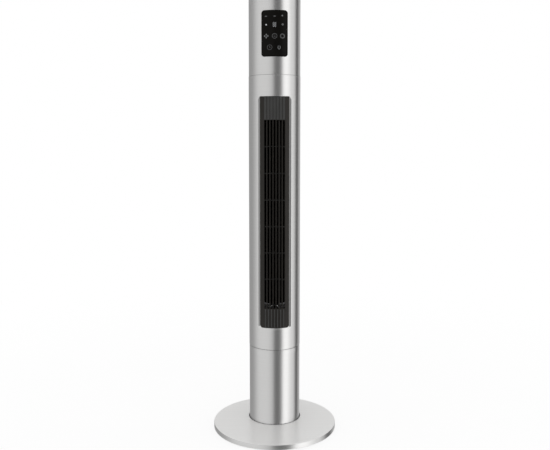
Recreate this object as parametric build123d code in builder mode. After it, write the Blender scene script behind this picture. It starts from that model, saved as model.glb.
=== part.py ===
from build123d import *

import os
from math import acos, cos, hypot, pi, radians, sin, sqrt, tan

# Tower fan: a brushed steel column that swings on a round foot.
# All sizes are millimetres. The origin is the middle of the foot on the floor, +Z is up and the
# air outlet faces -Y. The column stands a little behind the middle of the foot.

os.makedirs("parts", exist_ok=True)

# Column: three steel tubes stacked on one axis
total_height = 960
sleeve_radius = 58
tube_radius = 57.6
sheet = 1
column_setback = 27
stand_seam = 183
head_seam = 792
seam_gap = 0.8
sleeve_bore = sleeve_radius - sheet
tube_bore = tube_radius - sheet

# Gaps between pieces: a shaft in its bore, pieces that slip together, screws in their holes
running_gap = 0.05
slip_gap = 0.2
screw_gap = 0.1

# Round foot
base_radius = 138
base_top = 12
foot_height = 1.5
cover_sheet = 1.2
cover_edge = 1
well_radius = 60
well_lip_depth = 4.6
pan_thickness = 1.5
pan_top = foot_height + pan_thickness
pocket_floor = 7
lead_channel = 9
gland_radius = 3.7
gland_bore = 2.9
gland_length = 8
gland_height = 6.9
rubber_foot_radius = 10
rubber_peg_radius = 4
rubber_foot_circle = 118
rubber_foot_count = 6
pan_screw_circle = 98
pan_screw_count = 6

# Swivel: a hollow post on the foot carries the turntable under the column
post_bore = 10
post_flange_radius = 50
post_flange_top = 10
stem_radius = 20
gear_seat = 31
neck_radius = 16
neck_flat = 13.5
post_top = 44
post_screw_circle = 29
slide_inner_radius = 38
slide_outer_radius = 49.5
slide_top = 12
turntable_radius = tube_bore - slip_gap
turntable_top = 16
turntable_wall = 3
turntable_rim_top = 31
hub_radius = 26
hub_top = 30

# Swing drive: a pinion on the column walks round a fixed gear on the post
gear_module = 1
gear_teeth = 42
pinion_teeth = 18
pressure_angle = radians(20)
tooth_thinning = 0.06
gear_width = 8
clip_thickness = 1.5
clip_outer_radius = 19
pinion_distance = gear_module * (gear_teeth + pinion_teeth) / 2
pinion_shaft_radius = 2.5
swing_motor_distance = 37
swing_motor_radius = 17.5
swing_motor_height = 16
swing_motor_seat = 41
swing_ear_spacing = 42
swing_ear_radius = 4
swing_ear_thickness = 1.2

# Collars inside the two seams
collar_wall = 3.5
collar_reach = 32

# Air outlet window, with its rolled steel lip, and the grille behind it
window_half_width = 32.5
window_bottom = 232.5
window_top = 745.5
window_corner = 7
lip_width = 5.5
lip_depth = 6
lip_round = 3.3
grille_face_radius = 56.8
grille_face_thickness = 3.2
grille_wall = 3
flange_back = 31
flange_thickness = 3
flange_width = 6.5
slot_count = 7
slot_pitch = 6.75
slat_width = 2.45
slat_depth = 10
slot_bottom = 277
slot_top = 694
panel_rib_height = 0.5
tie_bar_height = 1.8

# Air intake at the back
intake_half_width = 41
intake_bottom = 240
intake_top = 730
intake_corner = 8
intake_overlap = 5
intake_slot_count = 13
intake_slot_pitch = 6.6
intake_slot_width = 4.2
intake_rib_count = 7
intake_rib_height = 3.2
intake_border = 9

# Blower frame between the motor plate and the bearing plate
plate_radius = 53.2
plate_front = 31
plate_thickness = 3
motor_plate_bottom = slot_bottom - 8.5
motor_plate_top = motor_plate_bottom + plate_thickness
bearing_plate_bottom = slot_top + 6.5
bearing_plate_top = bearing_plate_bottom + plate_thickness
shaft_opening_radius = 14
tab_width = 4.5
tab_middle = 37
tab_height = 16
tab_thickness = 3
guide_wall = 2
tongue_gap = 2.5

# Fan motor under the motor plate, and the bearing in the bearing plate
motor_radius = 29
motor_length = 42
bush_length = 12
motor_top = motor_plate_bottom - bush_length
motor_bottom = motor_top - motor_length
motor_cap_radius = 20
motor_cap_height = 4
motor_boss_radius = 11
motor_boss_top = motor_top + 8
motor_ear_circle = 36
motor_ear_radius = 6.5
motor_ear_thickness = 2
motor_vent_count = 12
bush_radius = 6
bush_bore = 2.3
bush_waist_radius = 4.6
bearing_bush_radius = 7.5
bearing_cup_radius = 13.5
bearing_cup_wall = 3.4
bearing_top = bearing_plate_top + 9

# Cross-flow impeller on a motor shaft below and a stub shaft above
impeller_setback = 6
impeller_radius = 30
impeller_sections = 7
section_length = 59
impeller_bottom = 282.7
disc_thickness = 2
ring_inner_radius = 20
blade_count = 26
blade_inner_radius = 22
blade_outer_radius = 29.4
blade_lean = 16
blade_bulge = 2.2
blade_thickness = 0.9
impeller_top = impeller_bottom + impeller_sections * section_length
motor_hub_radius = 9
motor_hub_bottom = motor_plate_top + 3
motor_hub_top = impeller_bottom + 15
motor_shaft_radius = 4
motor_shaft_bottom = motor_bottom + 4
stub_hub_radius = 8
stub_hub_length = 15
stub_shaft_radius = 3
set_screw_height = motor_hub_bottom + 4
set_screw_radius = 2
set_screw_length = 5

# Head: control panel at the front and electronics behind it
panel_width = 56.5
panel_height = 98
panel_middle = 879
panel_corner = 6.5
panel_gap = 0.15
panel_proud = 0.2
carrier_width = 70
carrier_height = 101
carrier_thickness = 3
key_hole_radius = 5
key_spring_radius = 4
key_row_upper = 872.5
key_row_lower = 850
upper_key_pitch = 17.6
lower_key_pitch = 21.2
display_width = 20
display_height = 14
display_depth = 6
display_middle = 897.5
lamp_hole_radius = 1.6
lamp_row_top = 914.5
lamp_pitch = 18
board_thickness = 1.6
board_depth = 44
board_width = 56
board_height = 92
board_screw_spacing = (46, 84)
standoff_radius = 3
standoff_reach = 5.4
chassis_back = 8
chassis_thickness = 3
chassis_width = 84
chassis_top = 938
chassis_foot_radius = 54
chassis_foot_bore = 40
power_board_width = 76
power_board_height = 92
power_board_middle = 886
power_standoff = 4
power_screw_spacing = (66, 82)
cap_thickness = 3
cap_edge = 1.2
cap_spigot = 12
cap_gap = 0.2

# Screws: head radius, head height, shank radius
small_screw = (3.6, 1.9, 2)
board_screw = (2.6, 1.6, 1.4)
screw_angles = (55, 90, 125)


def level(height):
    """Level plane on the column's axis."""
    return Plane(origin=(0, column_setback, height))


def fan_level(height):
    """Level plane on the impeller's axis."""
    return Plane(origin=(0, column_setback + impeller_setback, height))


def facing(depth):
    """Upright plane in front of the column's axis that looks out of the fan, with +Z as its y."""
    return Plane(origin=(0, column_setback - depth, 0), x_dir=(1, 0, 0), z_dir=(0, -1, 0))


def skin(angle, radius, height):
    """Plane that touches a round skin of the column and points out of it. The angle is from +X."""
    out_x, out_y = cos(radians(angle)), sin(radians(angle))
    touch = (radius * out_x, column_setback + radius * out_y, height)
    return Plane(origin=touch, x_dir=(-out_y, out_x, 0), z_dir=(out_x, out_y, 0))


def spot(plane, x, y, turned=False):
    """Plane at a point of another plane, or the same turned to face the other way."""
    at = plane.from_local_coords(Vector(x, y, 0))
    return Plane(origin=at, x_dir=plane.x_dir, z_dir=-plane.z_dir if turned else plane.z_dir)


def tube(plane, outer, inner, length, mode=Mode.ADD):
    """Adds a length of round tube to the part in hand, or a rod where the inner radius is 0."""
    with BuildSketch(plane, mode=Mode.PRIVATE) as ring:
        Circle(outer)
        if inner:
            Circle(inner, mode=Mode.SUBTRACT)
    extrude(ring.sketch, amount=length, mode=mode)


def screws(seats, size, length):
    """Pan-head screws with a crossed slot. Each seat lies under a head and points out of it."""
    head_radius, head_height, shank_radius = size
    slot_long, slot_wide, slot_deep = head_radius * 1.2, head_radius * 0.28, head_height * 0.6
    with BuildPart(mode=Mode.PRIVATE) as screw:
        Cylinder(head_radius, head_height, align=(Align.CENTER, Align.CENTER, Align.MIN))
        fillet(screw.edges().group_by(Axis.Z)[-1], head_height * 0.45)
        Cylinder(shank_radius, length, align=(Align.CENTER, Align.CENTER, Align.MAX))
        with Locations((0, 0, head_height)):
            Box(slot_long, slot_wide, 2 * slot_deep, mode=Mode.SUBTRACT)
            Box(slot_wide, slot_long, 2 * slot_deep, mode=Mode.SUBTRACT)
    with BuildPart() as group:
        with Locations(*seats):
            add(screw.part)
    return group


def involute(angle):
    """How far an involute has turned where its slope from the radius is this angle."""
    return tan(angle) - angle


def spur_gear(teeth, turn=0):
    """Outline of an involute gear. A tooth lies on +X, or that many degrees from it."""
    pitch_radius = gear_module * teeth / 2
    base_circle = pitch_radius * cos(pressure_angle)
    tip_radius = pitch_radius + gear_module
    root_radius = pitch_radius - 1.25 * gear_module
    half_tooth = pi / (2 * teeth) - tooth_thinning / pitch_radius + involute(pressure_angle)

    def flank(radius, side):
        half = half_tooth - involute(acos(base_circle / radius))
        return Vector(radius * cos(half), side * radius * sin(half))

    start = max(base_circle, root_radius)
    middle = (start + tip_radius) / 2
    below_root = root_radius - gear_module / 2
    with BuildSketch(mode=Mode.PRIVATE) as tooth:
        with BuildLine():
            ThreePointArc(flank(start, 1), flank(middle, 1), flank(tip_radius, 1))
            ThreePointArc(flank(tip_radius, 1), (tip_radius, 0), flank(tip_radius, -1))
            ThreePointArc(flank(tip_radius, -1), flank(middle, -1), flank(start, -1))
            Polyline(
                flank(start, -1),
                (below_root, flank(start, -1).Y),
                (below_root, flank(start, 1).Y),
                flank(start, 1),
            )
        make_face()
    with BuildSketch(mode=Mode.PRIVATE) as gear:
        Circle(root_radius)
        with PolarLocations(0, teeth, start_angle=turn):
            add(tooth.sketch)
    return gear.sketch


def flatted_round(radius, flat):
    """Outline of a round with a flat on its -X side."""
    with BuildSketch(mode=Mode.PRIVATE) as outline:
        Circle(radius)
        with Locations((-flat, 0)):
            Rectangle(radius, 2 * radius, align=(Align.MAX, Align.CENTER), mode=Mode.SUBTRACT)
    return outline.sketch


def window_outline(grow, top=window_top):
    """Outline of the outlet window, grown at its sides and its foot. Its lower corners are round."""
    with BuildSketch(mode=Mode.PRIVATE) as outline:
        with Locations((0, window_bottom - grow)):
            Rectangle(
                2 * (window_half_width + grow),
                top - window_bottom + grow,
                align=(Align.CENTER, Align.MIN),
            )
        fillet(outline.vertices().group_by(Axis.Y)[0], window_corner + grow)
    return outline.sketch


def front_band(outer, inner, half_width):
    """Plan of a curved band round the front of the column, between two upright sides."""
    with BuildSketch(mode=Mode.PRIVATE) as band:
        Circle(outer)
        if inner:
            Circle(inner, mode=Mode.SUBTRACT)
        Rectangle(2 * half_width, outer, align=(Align.CENTER, Align.MAX), mode=Mode.INTERSECT)
    return band.sketch


# Round foot
gland_seat = Plane(origin=(0, base_radius, gland_height), x_dir=(-1, 0, 0), z_dir=(0, 1, 0))
pan_screw_length = pocket_floor - pan_top
pan_screw_head, pan_screw_shank = 3.5, 2

with BuildPart() as base_cover:
    with BuildSketch(Plane.XY.offset(foot_height)):
        Circle(base_radius)
    extrude(amount=base_top - foot_height)
    fillet(base_cover.edges().group_by(Axis.Z)[-1], cover_edge)
    with BuildSketch(Plane.XY.offset(foot_height)):
        Circle(base_radius - cover_sheet)
    extrude(amount=base_top - cover_sheet - foot_height, mode=Mode.SUBTRACT)
    tube(level(base_top), well_radius + cover_sheet, 0, -well_lip_depth)
    tube(level(base_top), well_radius, 0, -base_top, Mode.SUBTRACT)
    well_edges = base_cover.edges().filter_by(lambda edge: abs(edge.length - 2 * pi * well_radius) < 1)
    fillet(well_edges.sort_by(Axis.Z)[-1], cover_edge)
    with Locations(gland_seat):
        Hole(gland_radius + screw_gap, depth=3 * cover_sheet)
base_cover.part.label = "base_cover"
export_step(base_cover.part, "parts/base_cover.step")

with BuildPart() as ballast_plate:
    with BuildSketch(Plane.XY.offset(pan_top)):
        Circle(base_radius - cover_sheet - slip_gap)
    extrude(amount=base_top - cover_sheet - pan_top)
    tube(level(pocket_floor), well_radius + cover_sheet + slip_gap, 0, base_top, Mode.SUBTRACT)
    with BuildSketch(level(pan_top)):
        Rectangle(lead_channel, base_radius, align=(Align.CENTER, Align.MIN))
    extrude(amount=base_top, mode=Mode.SUBTRACT)
    with Locations(Plane.XY.offset(pan_top)):
        with PolarLocations(pan_screw_circle, pan_screw_count):
            Cylinder(
                pan_screw_shank + screw_gap,
                pan_screw_length + 1,
                align=(Align.CENTER, Align.CENTER, Align.MIN),
                mode=Mode.SUBTRACT,
            )
    with Locations(level(pocket_floor)):
        with PolarLocations(post_screw_circle, 4, start_angle=45):
            Hole(small_screw[2] + screw_gap)
ballast_plate.part.label = "ballast_plate"
export_step(ballast_plate.part, "parts/ballast_plate.step")

with BuildPart() as base_pan:
    with BuildSketch(Plane.XY.offset(foot_height)):
        Circle(base_radius - cover_sheet - slip_gap)
        with PolarLocations(rubber_foot_circle, rubber_foot_count, start_angle=30):
            Circle(rubber_peg_radius + screw_gap, mode=Mode.SUBTRACT)
    extrude(amount=pan_thickness)
    with Locations(Plane.XY.offset(foot_height)):
        with PolarLocations(pan_screw_circle, pan_screw_count):
            Cone(
                pan_screw_head + screw_gap,
                pan_screw_shank + screw_gap,
                pan_thickness,
                align=(Align.CENTER, Align.CENTER, Align.MIN),
                mode=Mode.SUBTRACT,
            )
base_pan.part.label = "base_pan"
export_step(base_pan.part, "parts/base_pan.step")

with BuildPart() as rubber_feet:
    with BuildSketch():
        with PolarLocations(rubber_foot_circle, rubber_foot_count, start_angle=30):
            Circle(rubber_foot_radius)
    extrude(amount=foot_height)
    chamfer(rubber_feet.edges().group_by(Axis.Z)[0], 0.5)
    with BuildSketch(Plane.XY.offset(foot_height)):
        with PolarLocations(rubber_foot_circle, rubber_foot_count, start_angle=30):
            Circle(rubber_peg_radius)
    extrude(amount=pan_thickness)
rubber_feet.part.label = "rubber_feet"
export_step(rubber_feet.part, "parts/rubber_feet.step")

with BuildPart() as pan_screws:
    with Locations(Plane.XY.offset(foot_height)):
        with PolarLocations(pan_screw_circle, pan_screw_count):
            Cone(
                pan_screw_head,
                pan_screw_shank,
                pan_thickness,
                align=(Align.CENTER, Align.CENTER, Align.MIN),
            )
            Cylinder(
                pan_screw_shank,
                pan_thickness + pan_screw_length,
                align=(Align.CENTER, Align.CENTER, Align.MIN),
            )
            Box(pan_screw_head, 0.9, pan_thickness, mode=Mode.SUBTRACT)
            Box(0.9, pan_screw_head, pan_thickness, mode=Mode.SUBTRACT)
pan_screws.part.label = "pan_screws"
export_step(pan_screws.part, "parts/pan_screws.step")

with BuildPart() as cord_gland:
    tube(gland_seat.offset(-slip_gap), gland_radius, gland_bore, -gland_length)
    chamfer(cord_gland.edges().group_by(Axis.Y)[-1].sort_by(SortBy.LENGTH)[0], 0.5)
cord_gland.part.label = "cord_gland"
export_step(cord_gland.part, "parts/cord_gland.step")

# Swivel post, slide ring and turntable
with BuildPart() as swivel_post:
    tube(level(pocket_floor), post_flange_radius, post_bore, post_flange_top - pocket_floor)
    tube(level(post_flange_top), stem_radius, post_bore, gear_seat - post_flange_top)
    with BuildSketch(level(gear_seat)):
        add(flatted_round(neck_radius, neck_flat))
        Circle(post_bore, mode=Mode.SUBTRACT)
    extrude(amount=post_top - gear_seat)
    tube(
        level(gear_seat + gear_width),
        neck_radius,
        neck_flat - 1,
        clip_thickness + slip_gap,
        Mode.SUBTRACT,
    )
    with Locations(level(post_flange_top)):
        with PolarLocations(post_screw_circle, 4, start_angle=45):
            Hole(small_screw[2] + screw_gap)
swivel_post.part.label = "swivel_post"
export_step(swivel_post.part, "parts/swivel_post.step")

post_seats = [
    spot(level(post_flange_top), post_screw_circle * cos(turn), post_screw_circle * sin(turn))
    for turn in (pi / 4, 3 * pi / 4, 5 * pi / 4, 7 * pi / 4)
]
post_screws = screws(post_seats, small_screw, post_flange_top - pan_top - 1)
post_screws.part.label = "post_screws"
export_step(post_screws.part, "parts/post_screws.step")

with BuildPart() as slide_ring:
    tube(level(post_flange_top), slide_outer_radius, slide_inner_radius, slide_top - post_flange_top)
slide_ring.part.label = "slide_ring"
export_step(slide_ring.part, "parts/slide_ring.step")

swing_ears = [
    spot(level(swing_motor_seat), swing_motor_distance, side * swing_ear_spacing / 2) for side in (-1, 1)
]
turntable_seats = [skin(angle, tube_radius, 23) for angle in screw_angles]
with BuildPart() as turntable:
    tube(level(slide_top), turntable_radius, stem_radius + running_gap, turntable_top - slide_top)
    tube(level(turntable_top), hub_radius, stem_radius + running_gap, hub_top - turntable_top)
    tube(
        level(turntable_top),
        turntable_radius,
        turntable_radius - turntable_wall,
        turntable_rim_top - turntable_top,
    )
    with Locations(*swing_ears):
        Cylinder(
            swing_ear_radius,
            swing_motor_seat - turntable_top,
            align=(Align.CENTER, Align.CENTER, Align.MAX),
        )
        Hole(board_screw[2] + screw_gap, depth=8)
    with Locations(*turntable_seats):
        Hole(small_screw[2] + screw_gap, depth=8)
turntable.part.label = "turntable"
export_step(turntable.part, "parts/turntable.step")
turntable_screws = screws(turntable_seats, small_screw, sheet + turntable_wall + slip_gap)
turntable_screws.part.label = "turntable_screws"
export_step(turntable_screws.part, "parts/turntable_screws.step")

# Swing drive
with BuildPart() as swing_gear:
    with BuildSketch(level(gear_seat)):
        add(spur_gear(gear_teeth))
        add(flatted_round(neck_radius + running_gap, neck_flat + running_gap), mode=Mode.SUBTRACT)
    extrude(amount=gear_width)
swing_gear.part.label = "swing_gear"
export_step(swing_gear.part, "parts/swing_gear.step")

clip_bottom = gear_seat + gear_width + slip_gap / 2
with BuildPart() as post_clip:
    with BuildSketch(level(clip_bottom)):
        Circle(clip_outer_radius)
        Circle(neck_flat - 1 + running_gap, mode=Mode.SUBTRACT)
        Rectangle(
            clip_outer_radius,
            clip_outer_radius / 2,
            align=(Align.MAX, Align.CENTER),
            mode=Mode.SUBTRACT,
        )
    extrude(amount=clip_thickness)
post_clip.part.label = "post_clip"
export_step(post_clip.part, "parts/post_clip.step")

pinion_bottom = spot(level(gear_seat), pinion_distance, 0)
with BuildPart() as swing_pinion:
    with BuildSketch(pinion_bottom):
        add(spur_gear(pinion_teeth, turn=180 / pinion_teeth))
        Circle(pinion_shaft_radius + running_gap, mode=Mode.SUBTRACT)
    extrude(amount=gear_width)
swing_pinion.part.label = "swing_pinion"
export_step(swing_pinion.part, "parts/swing_pinion.step")

pinion_shaft_reach = 8
with BuildPart() as pinion_shaft:
    tube(pinion_bottom, pinion_shaft_radius, 0, swing_motor_seat - gear_seat + pinion_shaft_reach)
pinion_shaft.part.label = "pinion_shaft"
export_step(pinion_shaft.part, "parts/pinion_shaft.step")

with BuildPart() as swing_motor:
    with BuildSketch(level(swing_motor_seat)):
        with Locations((swing_motor_distance, 0)):
            Rectangle(2 * swing_ear_radius, swing_ear_spacing)
            Circle(swing_motor_radius)
        with Locations(*[(swing_motor_distance, side * swing_ear_spacing / 2) for side in (-1, 1)]):
            Circle(swing_ear_radius)
            Circle(board_screw[2] + screw_gap, mode=Mode.SUBTRACT)
    extrude(amount=swing_ear_thickness)
    tube(
        spot(level(swing_motor_seat + swing_ear_thickness), swing_motor_distance, 0),
        swing_motor_radius,
        0,
        swing_motor_height,
    )
    fillet(swing_motor.edges().group_by(Axis.Z)[-1], 1.5)
    with Locations(spot(level(swing_motor_seat), pinion_distance, 0, turned=True)):
        Hole(pinion_shaft_radius + running_gap, depth=pinion_shaft_reach + 1)
swing_motor.part.label = "swing_motor"
export_step(swing_motor.part, "parts/swing_motor.step")
swing_screw_seats = [ear.offset(swing_ear_thickness) for ear in swing_ears]
swing_motor_screws = screws(swing_screw_seats, board_screw, 7)
swing_motor_screws.part.label = "swing_motor_screws"
export_step(swing_motor_screws.part, "parts/swing_motor_screws.step")

# Steel tubes and the collars that join them
stand_bottom = base_top - 3
stand_top = stand_seam - seam_gap / 2
sleeve_bottom = stand_seam + seam_gap / 2
sleeve_top = head_seam - seam_gap / 2
head_bottom = head_seam + seam_gap / 2
head_top = total_height - cap_thickness - cap_gap
screw_inset = 14


def seam_seats(seam, lower_radius, upper_radius):
    """Screw seats at the back, a row below a seam and a row above it."""
    rows = ((lower_radius, seam - screw_inset), (upper_radius, seam + screw_inset))
    return [skin(angle, radius, height) for radius, height in rows for angle in screw_angles]


def collar(seam, lower_bore, upper_bore, seats):
    """Stepped ring inside a seam, bored for its screws."""
    inner = tube_bore - collar_wall
    with BuildPart() as ring:
        tube(level(seam - collar_reach), lower_bore - slip_gap, inner, collar_reach)
        tube(level(seam), upper_bore - slip_gap, inner, collar_reach)
        with Locations(*seats):
            Hole(small_screw[2] + screw_gap, depth=10)
    return ring


joint_seats = seam_seats(stand_seam, tube_radius, sleeve_radius)
head_seats = seam_seats(head_seam, sleeve_radius, tube_radius)
cap_seats = [skin(angle, tube_radius, head_top - cap_spigot / 2) for angle in screw_angles]
collar_screw_length = sheet + collar_wall + slip_gap
joint_collar = collar(stand_seam, tube_bore, sleeve_bore, joint_seats)
joint_collar.part.label = "joint_collar"
export_step(joint_collar.part, "parts/joint_collar.step")
head_collar = collar(head_seam, sleeve_bore, tube_bore, head_seats)
head_collar.part.label = "head_collar"
export_step(head_collar.part, "parts/head_collar.step")
joint_screws = screws(joint_seats, small_screw, collar_screw_length)
joint_screws.part.label = "joint_screws"
export_step(joint_screws.part, "parts/joint_screws.step")
head_screws = screws(head_seats, small_screw, collar_screw_length)
head_screws.part.label = "head_screws"
export_step(head_screws.part, "parts/head_screws.step")

with BuildPart() as stand_tube:
    tube(level(stand_bottom), tube_radius, tube_bore, stand_top - stand_bottom)
    with Locations(*turntable_seats, *joint_seats[:3]):
        Hole(small_screw[2] + screw_gap, depth=10)
stand_tube.part.label = "stand_tube"
export_step(stand_tube.part, "parts/stand_tube.step")

intake_screw_angle = 50.5
intake_screw_heights = (intake_bottom + 8, (intake_bottom + intake_top) / 2, intake_top - 8)
intake_seats = [
    skin(90 + side * intake_screw_angle, sleeve_radius, height)
    for side in (-1, 1)
    for height in intake_screw_heights
]


def on_window_rim(edge):
    """Whether an edge of the sleeve lies on its outer skin, along the sides or the foot of the window."""
    middle = level(0).to_local_coords(edge @ 0.5)
    on_skin = abs(hypot(middle.X, middle.Y) - sleeve_radius) < 0.01 and middle.Y < 0
    beside_window = abs(middle.X) < window_half_width + 0.01
    return on_skin and beside_window and window_bottom - 0.01 < middle.Z < sleeve_top - 1


sleeve_length = sleeve_top - sleeve_bottom
lip_bore = sleeve_radius - lip_depth
lip_top = window_top + lip_width
lip_half_width = window_half_width + lip_width
with BuildPart() as housing_sleeve:
    with BuildSketch(facing(0)):
        add(window_outline(lip_width, sleeve_top))
    extrude(amount=sleeve_radius)
    tube(level(sleeve_bottom), sleeve_radius, lip_bore, sleeve_length, Mode.INTERSECT)
    tube(level(sleeve_bottom), sleeve_radius, sleeve_bore, sleeve_length)
    with BuildSketch(facing(0)):
        add(window_outline(0, sleeve_top))
    extrude(amount=sleeve_radius, mode=Mode.SUBTRACT)
    fillet(housing_sleeve.edges().filter_by(on_window_rim), lip_round)
    with BuildSketch(level(window_top)):
        add(front_band(sleeve_radius, lip_bore, lip_half_width))
    extrude(amount=sleeve_top - window_top)
    tube(level(lip_top), sleeve_bore, lip_bore / 2, sleeve_top - lip_top, Mode.SUBTRACT)
    with BuildSketch(facing(0)):
        with Locations((0, (intake_bottom + intake_top) / 2)):
            RectangleRounded(2 * intake_half_width, intake_top - intake_bottom, intake_corner)
    extrude(amount=-sleeve_radius, mode=Mode.SUBTRACT)
    with Locations(*joint_seats[3:], *head_seats[:3], *intake_seats):
        Hole(small_screw[2] + screw_gap, depth=10)
housing_sleeve.part.label = "housing_sleeve"
export_step(housing_sleeve.part, "parts/housing_sleeve.step")

with BuildPart() as head_tube:
    tube(level(head_bottom), tube_radius, tube_bore, head_top - head_bottom)
    with BuildSketch(facing(0)):
        with Locations((0, panel_middle)):
            RectangleRounded(panel_width + 2 * panel_gap, panel_height + 2 * panel_gap, panel_corner)
    extrude(amount=tube_radius, mode=Mode.SUBTRACT)
    with Locations(*head_seats[3:], *cap_seats):
        Hole(small_screw[2] + screw_gap, depth=10)
head_tube.part.label = "head_tube"
export_step(head_tube.part, "parts/head_tube.step")

with BuildPart() as top_cap:
    tube(level(total_height - cap_thickness), tube_radius, 0, cap_thickness)
    fillet(top_cap.edges().group_by(Axis.Z)[-1], cap_edge)
    tube(level(total_height - cap_thickness), tube_bore - slip_gap, tube_bore - collar_wall, -cap_spigot)
    with Locations(*cap_seats):
        Hole(small_screw[2] + screw_gap, depth=10)
top_cap.part.label = "top_cap"
export_step(top_cap.part, "parts/top_cap.step")
cap_screws = screws(cap_seats, small_screw, collar_screw_length)
cap_screws.part.label = "cap_screws"
export_step(cap_screws.part, "parts/cap_screws.step")

# Outlet grille: a curved face with upright slats between two ribbed panels
grille_half_width = window_half_width - slip_gap
grille_bottom = window_bottom + slip_gap
grille_top = window_top - slip_gap
face_inner_radius = grille_face_radius - grille_face_thickness
slat_count = slot_count - 1
slot_width = slot_pitch - slat_width


def grille_sides():
    """Adds the two side walls, from the flange to the face, to the plan in hand."""
    reach = sqrt(face_inner_radius**2 - grille_half_width**2) + grille_face_thickness / 2 - flange_back
    middle = grille_half_width - grille_wall / 2
    with Locations((-middle, -flange_back), (middle, -flange_back)):
        Rectangle(grille_wall, reach, align=(Align.CENTER, Align.MAX))


with BuildPart() as outlet_grille:
    with BuildSketch(level(slot_bottom)):
        add(front_band(grille_face_radius, face_inner_radius, grille_half_width))
        with Locations((0, -flange_back)):
            with GridLocations(slot_pitch, 0, slot_count, 1):
                Rectangle(slot_width, sleeve_radius, align=(Align.CENTER, Align.MAX), mode=Mode.SUBTRACT)
        with Locations((0, -face_inner_radius)):
            with GridLocations(slot_pitch, 0, slat_count, 1):
                Rectangle(slat_width, slat_depth, align=(Align.CENTER, Align.MIN))
        grille_sides()
    extrude(amount=slot_top - slot_bottom)
    for panel_low, panel_high in ((grille_bottom, slot_bottom), (slot_top, grille_top)):
        with BuildSketch(level(panel_low)):
            add(front_band(grille_face_radius, face_inner_radius, grille_half_width))
            grille_sides()
        extrude(amount=panel_high - panel_low)
        with BuildSketch(level(panel_low)):
            with Locations((0, -flange_back)):
                with GridLocations(slot_pitch, 0, slat_count + 2, 1):
                    Rectangle(slat_width, sleeve_radius, align=(Align.CENTER, Align.MAX))
            add(
                front_band(
                    grille_face_radius + panel_rib_height,
                    grille_face_radius - panel_rib_height,
                    grille_half_width,
                ),
                mode=Mode.INTERSECT,
            )
        extrude(amount=panel_high - panel_low)
    for end_low in (grille_bottom, grille_top - grille_wall):
        with BuildSketch(level(end_low)):
            add(front_band(grille_face_radius, 0, grille_half_width))
            Rectangle(2 * sleeve_radius, 2 * flange_back, mode=Mode.SUBTRACT)
        extrude(amount=grille_wall)
    corners = outlet_grille.edges().filter_by(Axis.Y).group_by(Axis.Z)[0]
    fillet([e for e in corners if abs(e.center().X) > grille_half_width - 0.1], window_corner - slip_gap)
    with BuildSketch(facing(flange_back)):
        add(window_outline(flange_width, window_top + flange_width))
        add(window_outline(-grille_wall - slip_gap, grille_top - grille_wall), mode=Mode.SUBTRACT)
    extrude(amount=flange_thickness)
    with BuildSketch(facing(face_inner_radius - slat_depth)):
        for section in range(impeller_sections):
            with Locations((0, impeller_bottom + section * section_length)):
                Rectangle(slot_pitch * slot_count, tie_bar_height)
    extrude(amount=slat_depth / 4)
    tab_heights = (motor_plate_top + tab_height / 2, bearing_plate_bottom - tab_height / 2)
    tab_points = [(side * tab_middle, height) for side in (-1, 1) for height in tab_heights]
    with Locations(*[spot(facing(flange_back), x, z, turned=True) for x, z in tab_points]):
        Hole(board_screw[2] + screw_gap, depth=flange_thickness)
outlet_grille.part.label = "outlet_grille"
export_step(outlet_grille.part, "parts/outlet_grille.step")

tab_seats = [spot(facing(flange_back - tab_thickness), x, z, turned=True) for x, z in tab_points]
grille_screws = screws(tab_seats, board_screw, tab_thickness + flange_thickness)
grille_screws.part.label = "grille_screws"
export_step(grille_screws.part, "parts/grille_screws.step")

# Intake grille: a curved lattice behind the window in the back
intake_radius = sleeve_bore - slip_gap
with BuildPart() as intake_grille:
    with BuildSketch(level(intake_bottom - intake_overlap)):
        Circle(intake_radius)
        Circle(intake_radius - grille_face_thickness, mode=Mode.SUBTRACT)
        Rectangle(
            2 * (intake_half_width + intake_overlap),
            intake_radius,
            align=(Align.CENTER, Align.MIN),
            mode=Mode.INTERSECT,
        )
    extrude(amount=intake_top - intake_bottom + 2 * intake_overlap)
    with BuildSketch(level(intake_bottom + intake_border)):
        for step in range(intake_slot_count):
            with Locations(Rotation(0, 0, 90 + (step - (intake_slot_count - 1) / 2) * intake_slot_pitch)):
                Rectangle(sleeve_radius, intake_slot_width, align=(Align.MIN, Align.CENTER))
    extrude(amount=intake_top - intake_bottom - 2 * intake_border, mode=Mode.SUBTRACT)
    rib_pitch = (intake_top - intake_bottom - 2 * intake_border) / (intake_rib_count + 1)
    for rib in range(1, intake_rib_count + 1):
        with BuildSketch(level(intake_bottom + intake_border + rib * rib_pitch - intake_rib_height / 2)):
            Circle(intake_radius)
            Circle(intake_radius - grille_face_thickness, mode=Mode.SUBTRACT)
            Rectangle(
                2 * intake_half_width,
                intake_radius,
                align=(Align.CENTER, Align.MIN),
                mode=Mode.INTERSECT,
            )
        extrude(amount=intake_rib_height)
    with Locations(*intake_seats):
        Hole(small_screw[2] + screw_gap, depth=10)
intake_grille.part.label = "intake_grille"
export_step(intake_grille.part, "parts/intake_grille.step")
intake_screws = screws(intake_seats, small_screw, sheet + grille_face_thickness + slip_gap)
intake_screws.part.label = "intake_screws"
export_step(intake_screws.part, "parts/intake_screws.step")

# Blower frame: two plates and the two guide walls between them
bush_points = [
    (motor_ear_circle * cos(radians(turn)), motor_ear_circle * sin(radians(turn))) for turn in (90, 210, 330)
]


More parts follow.
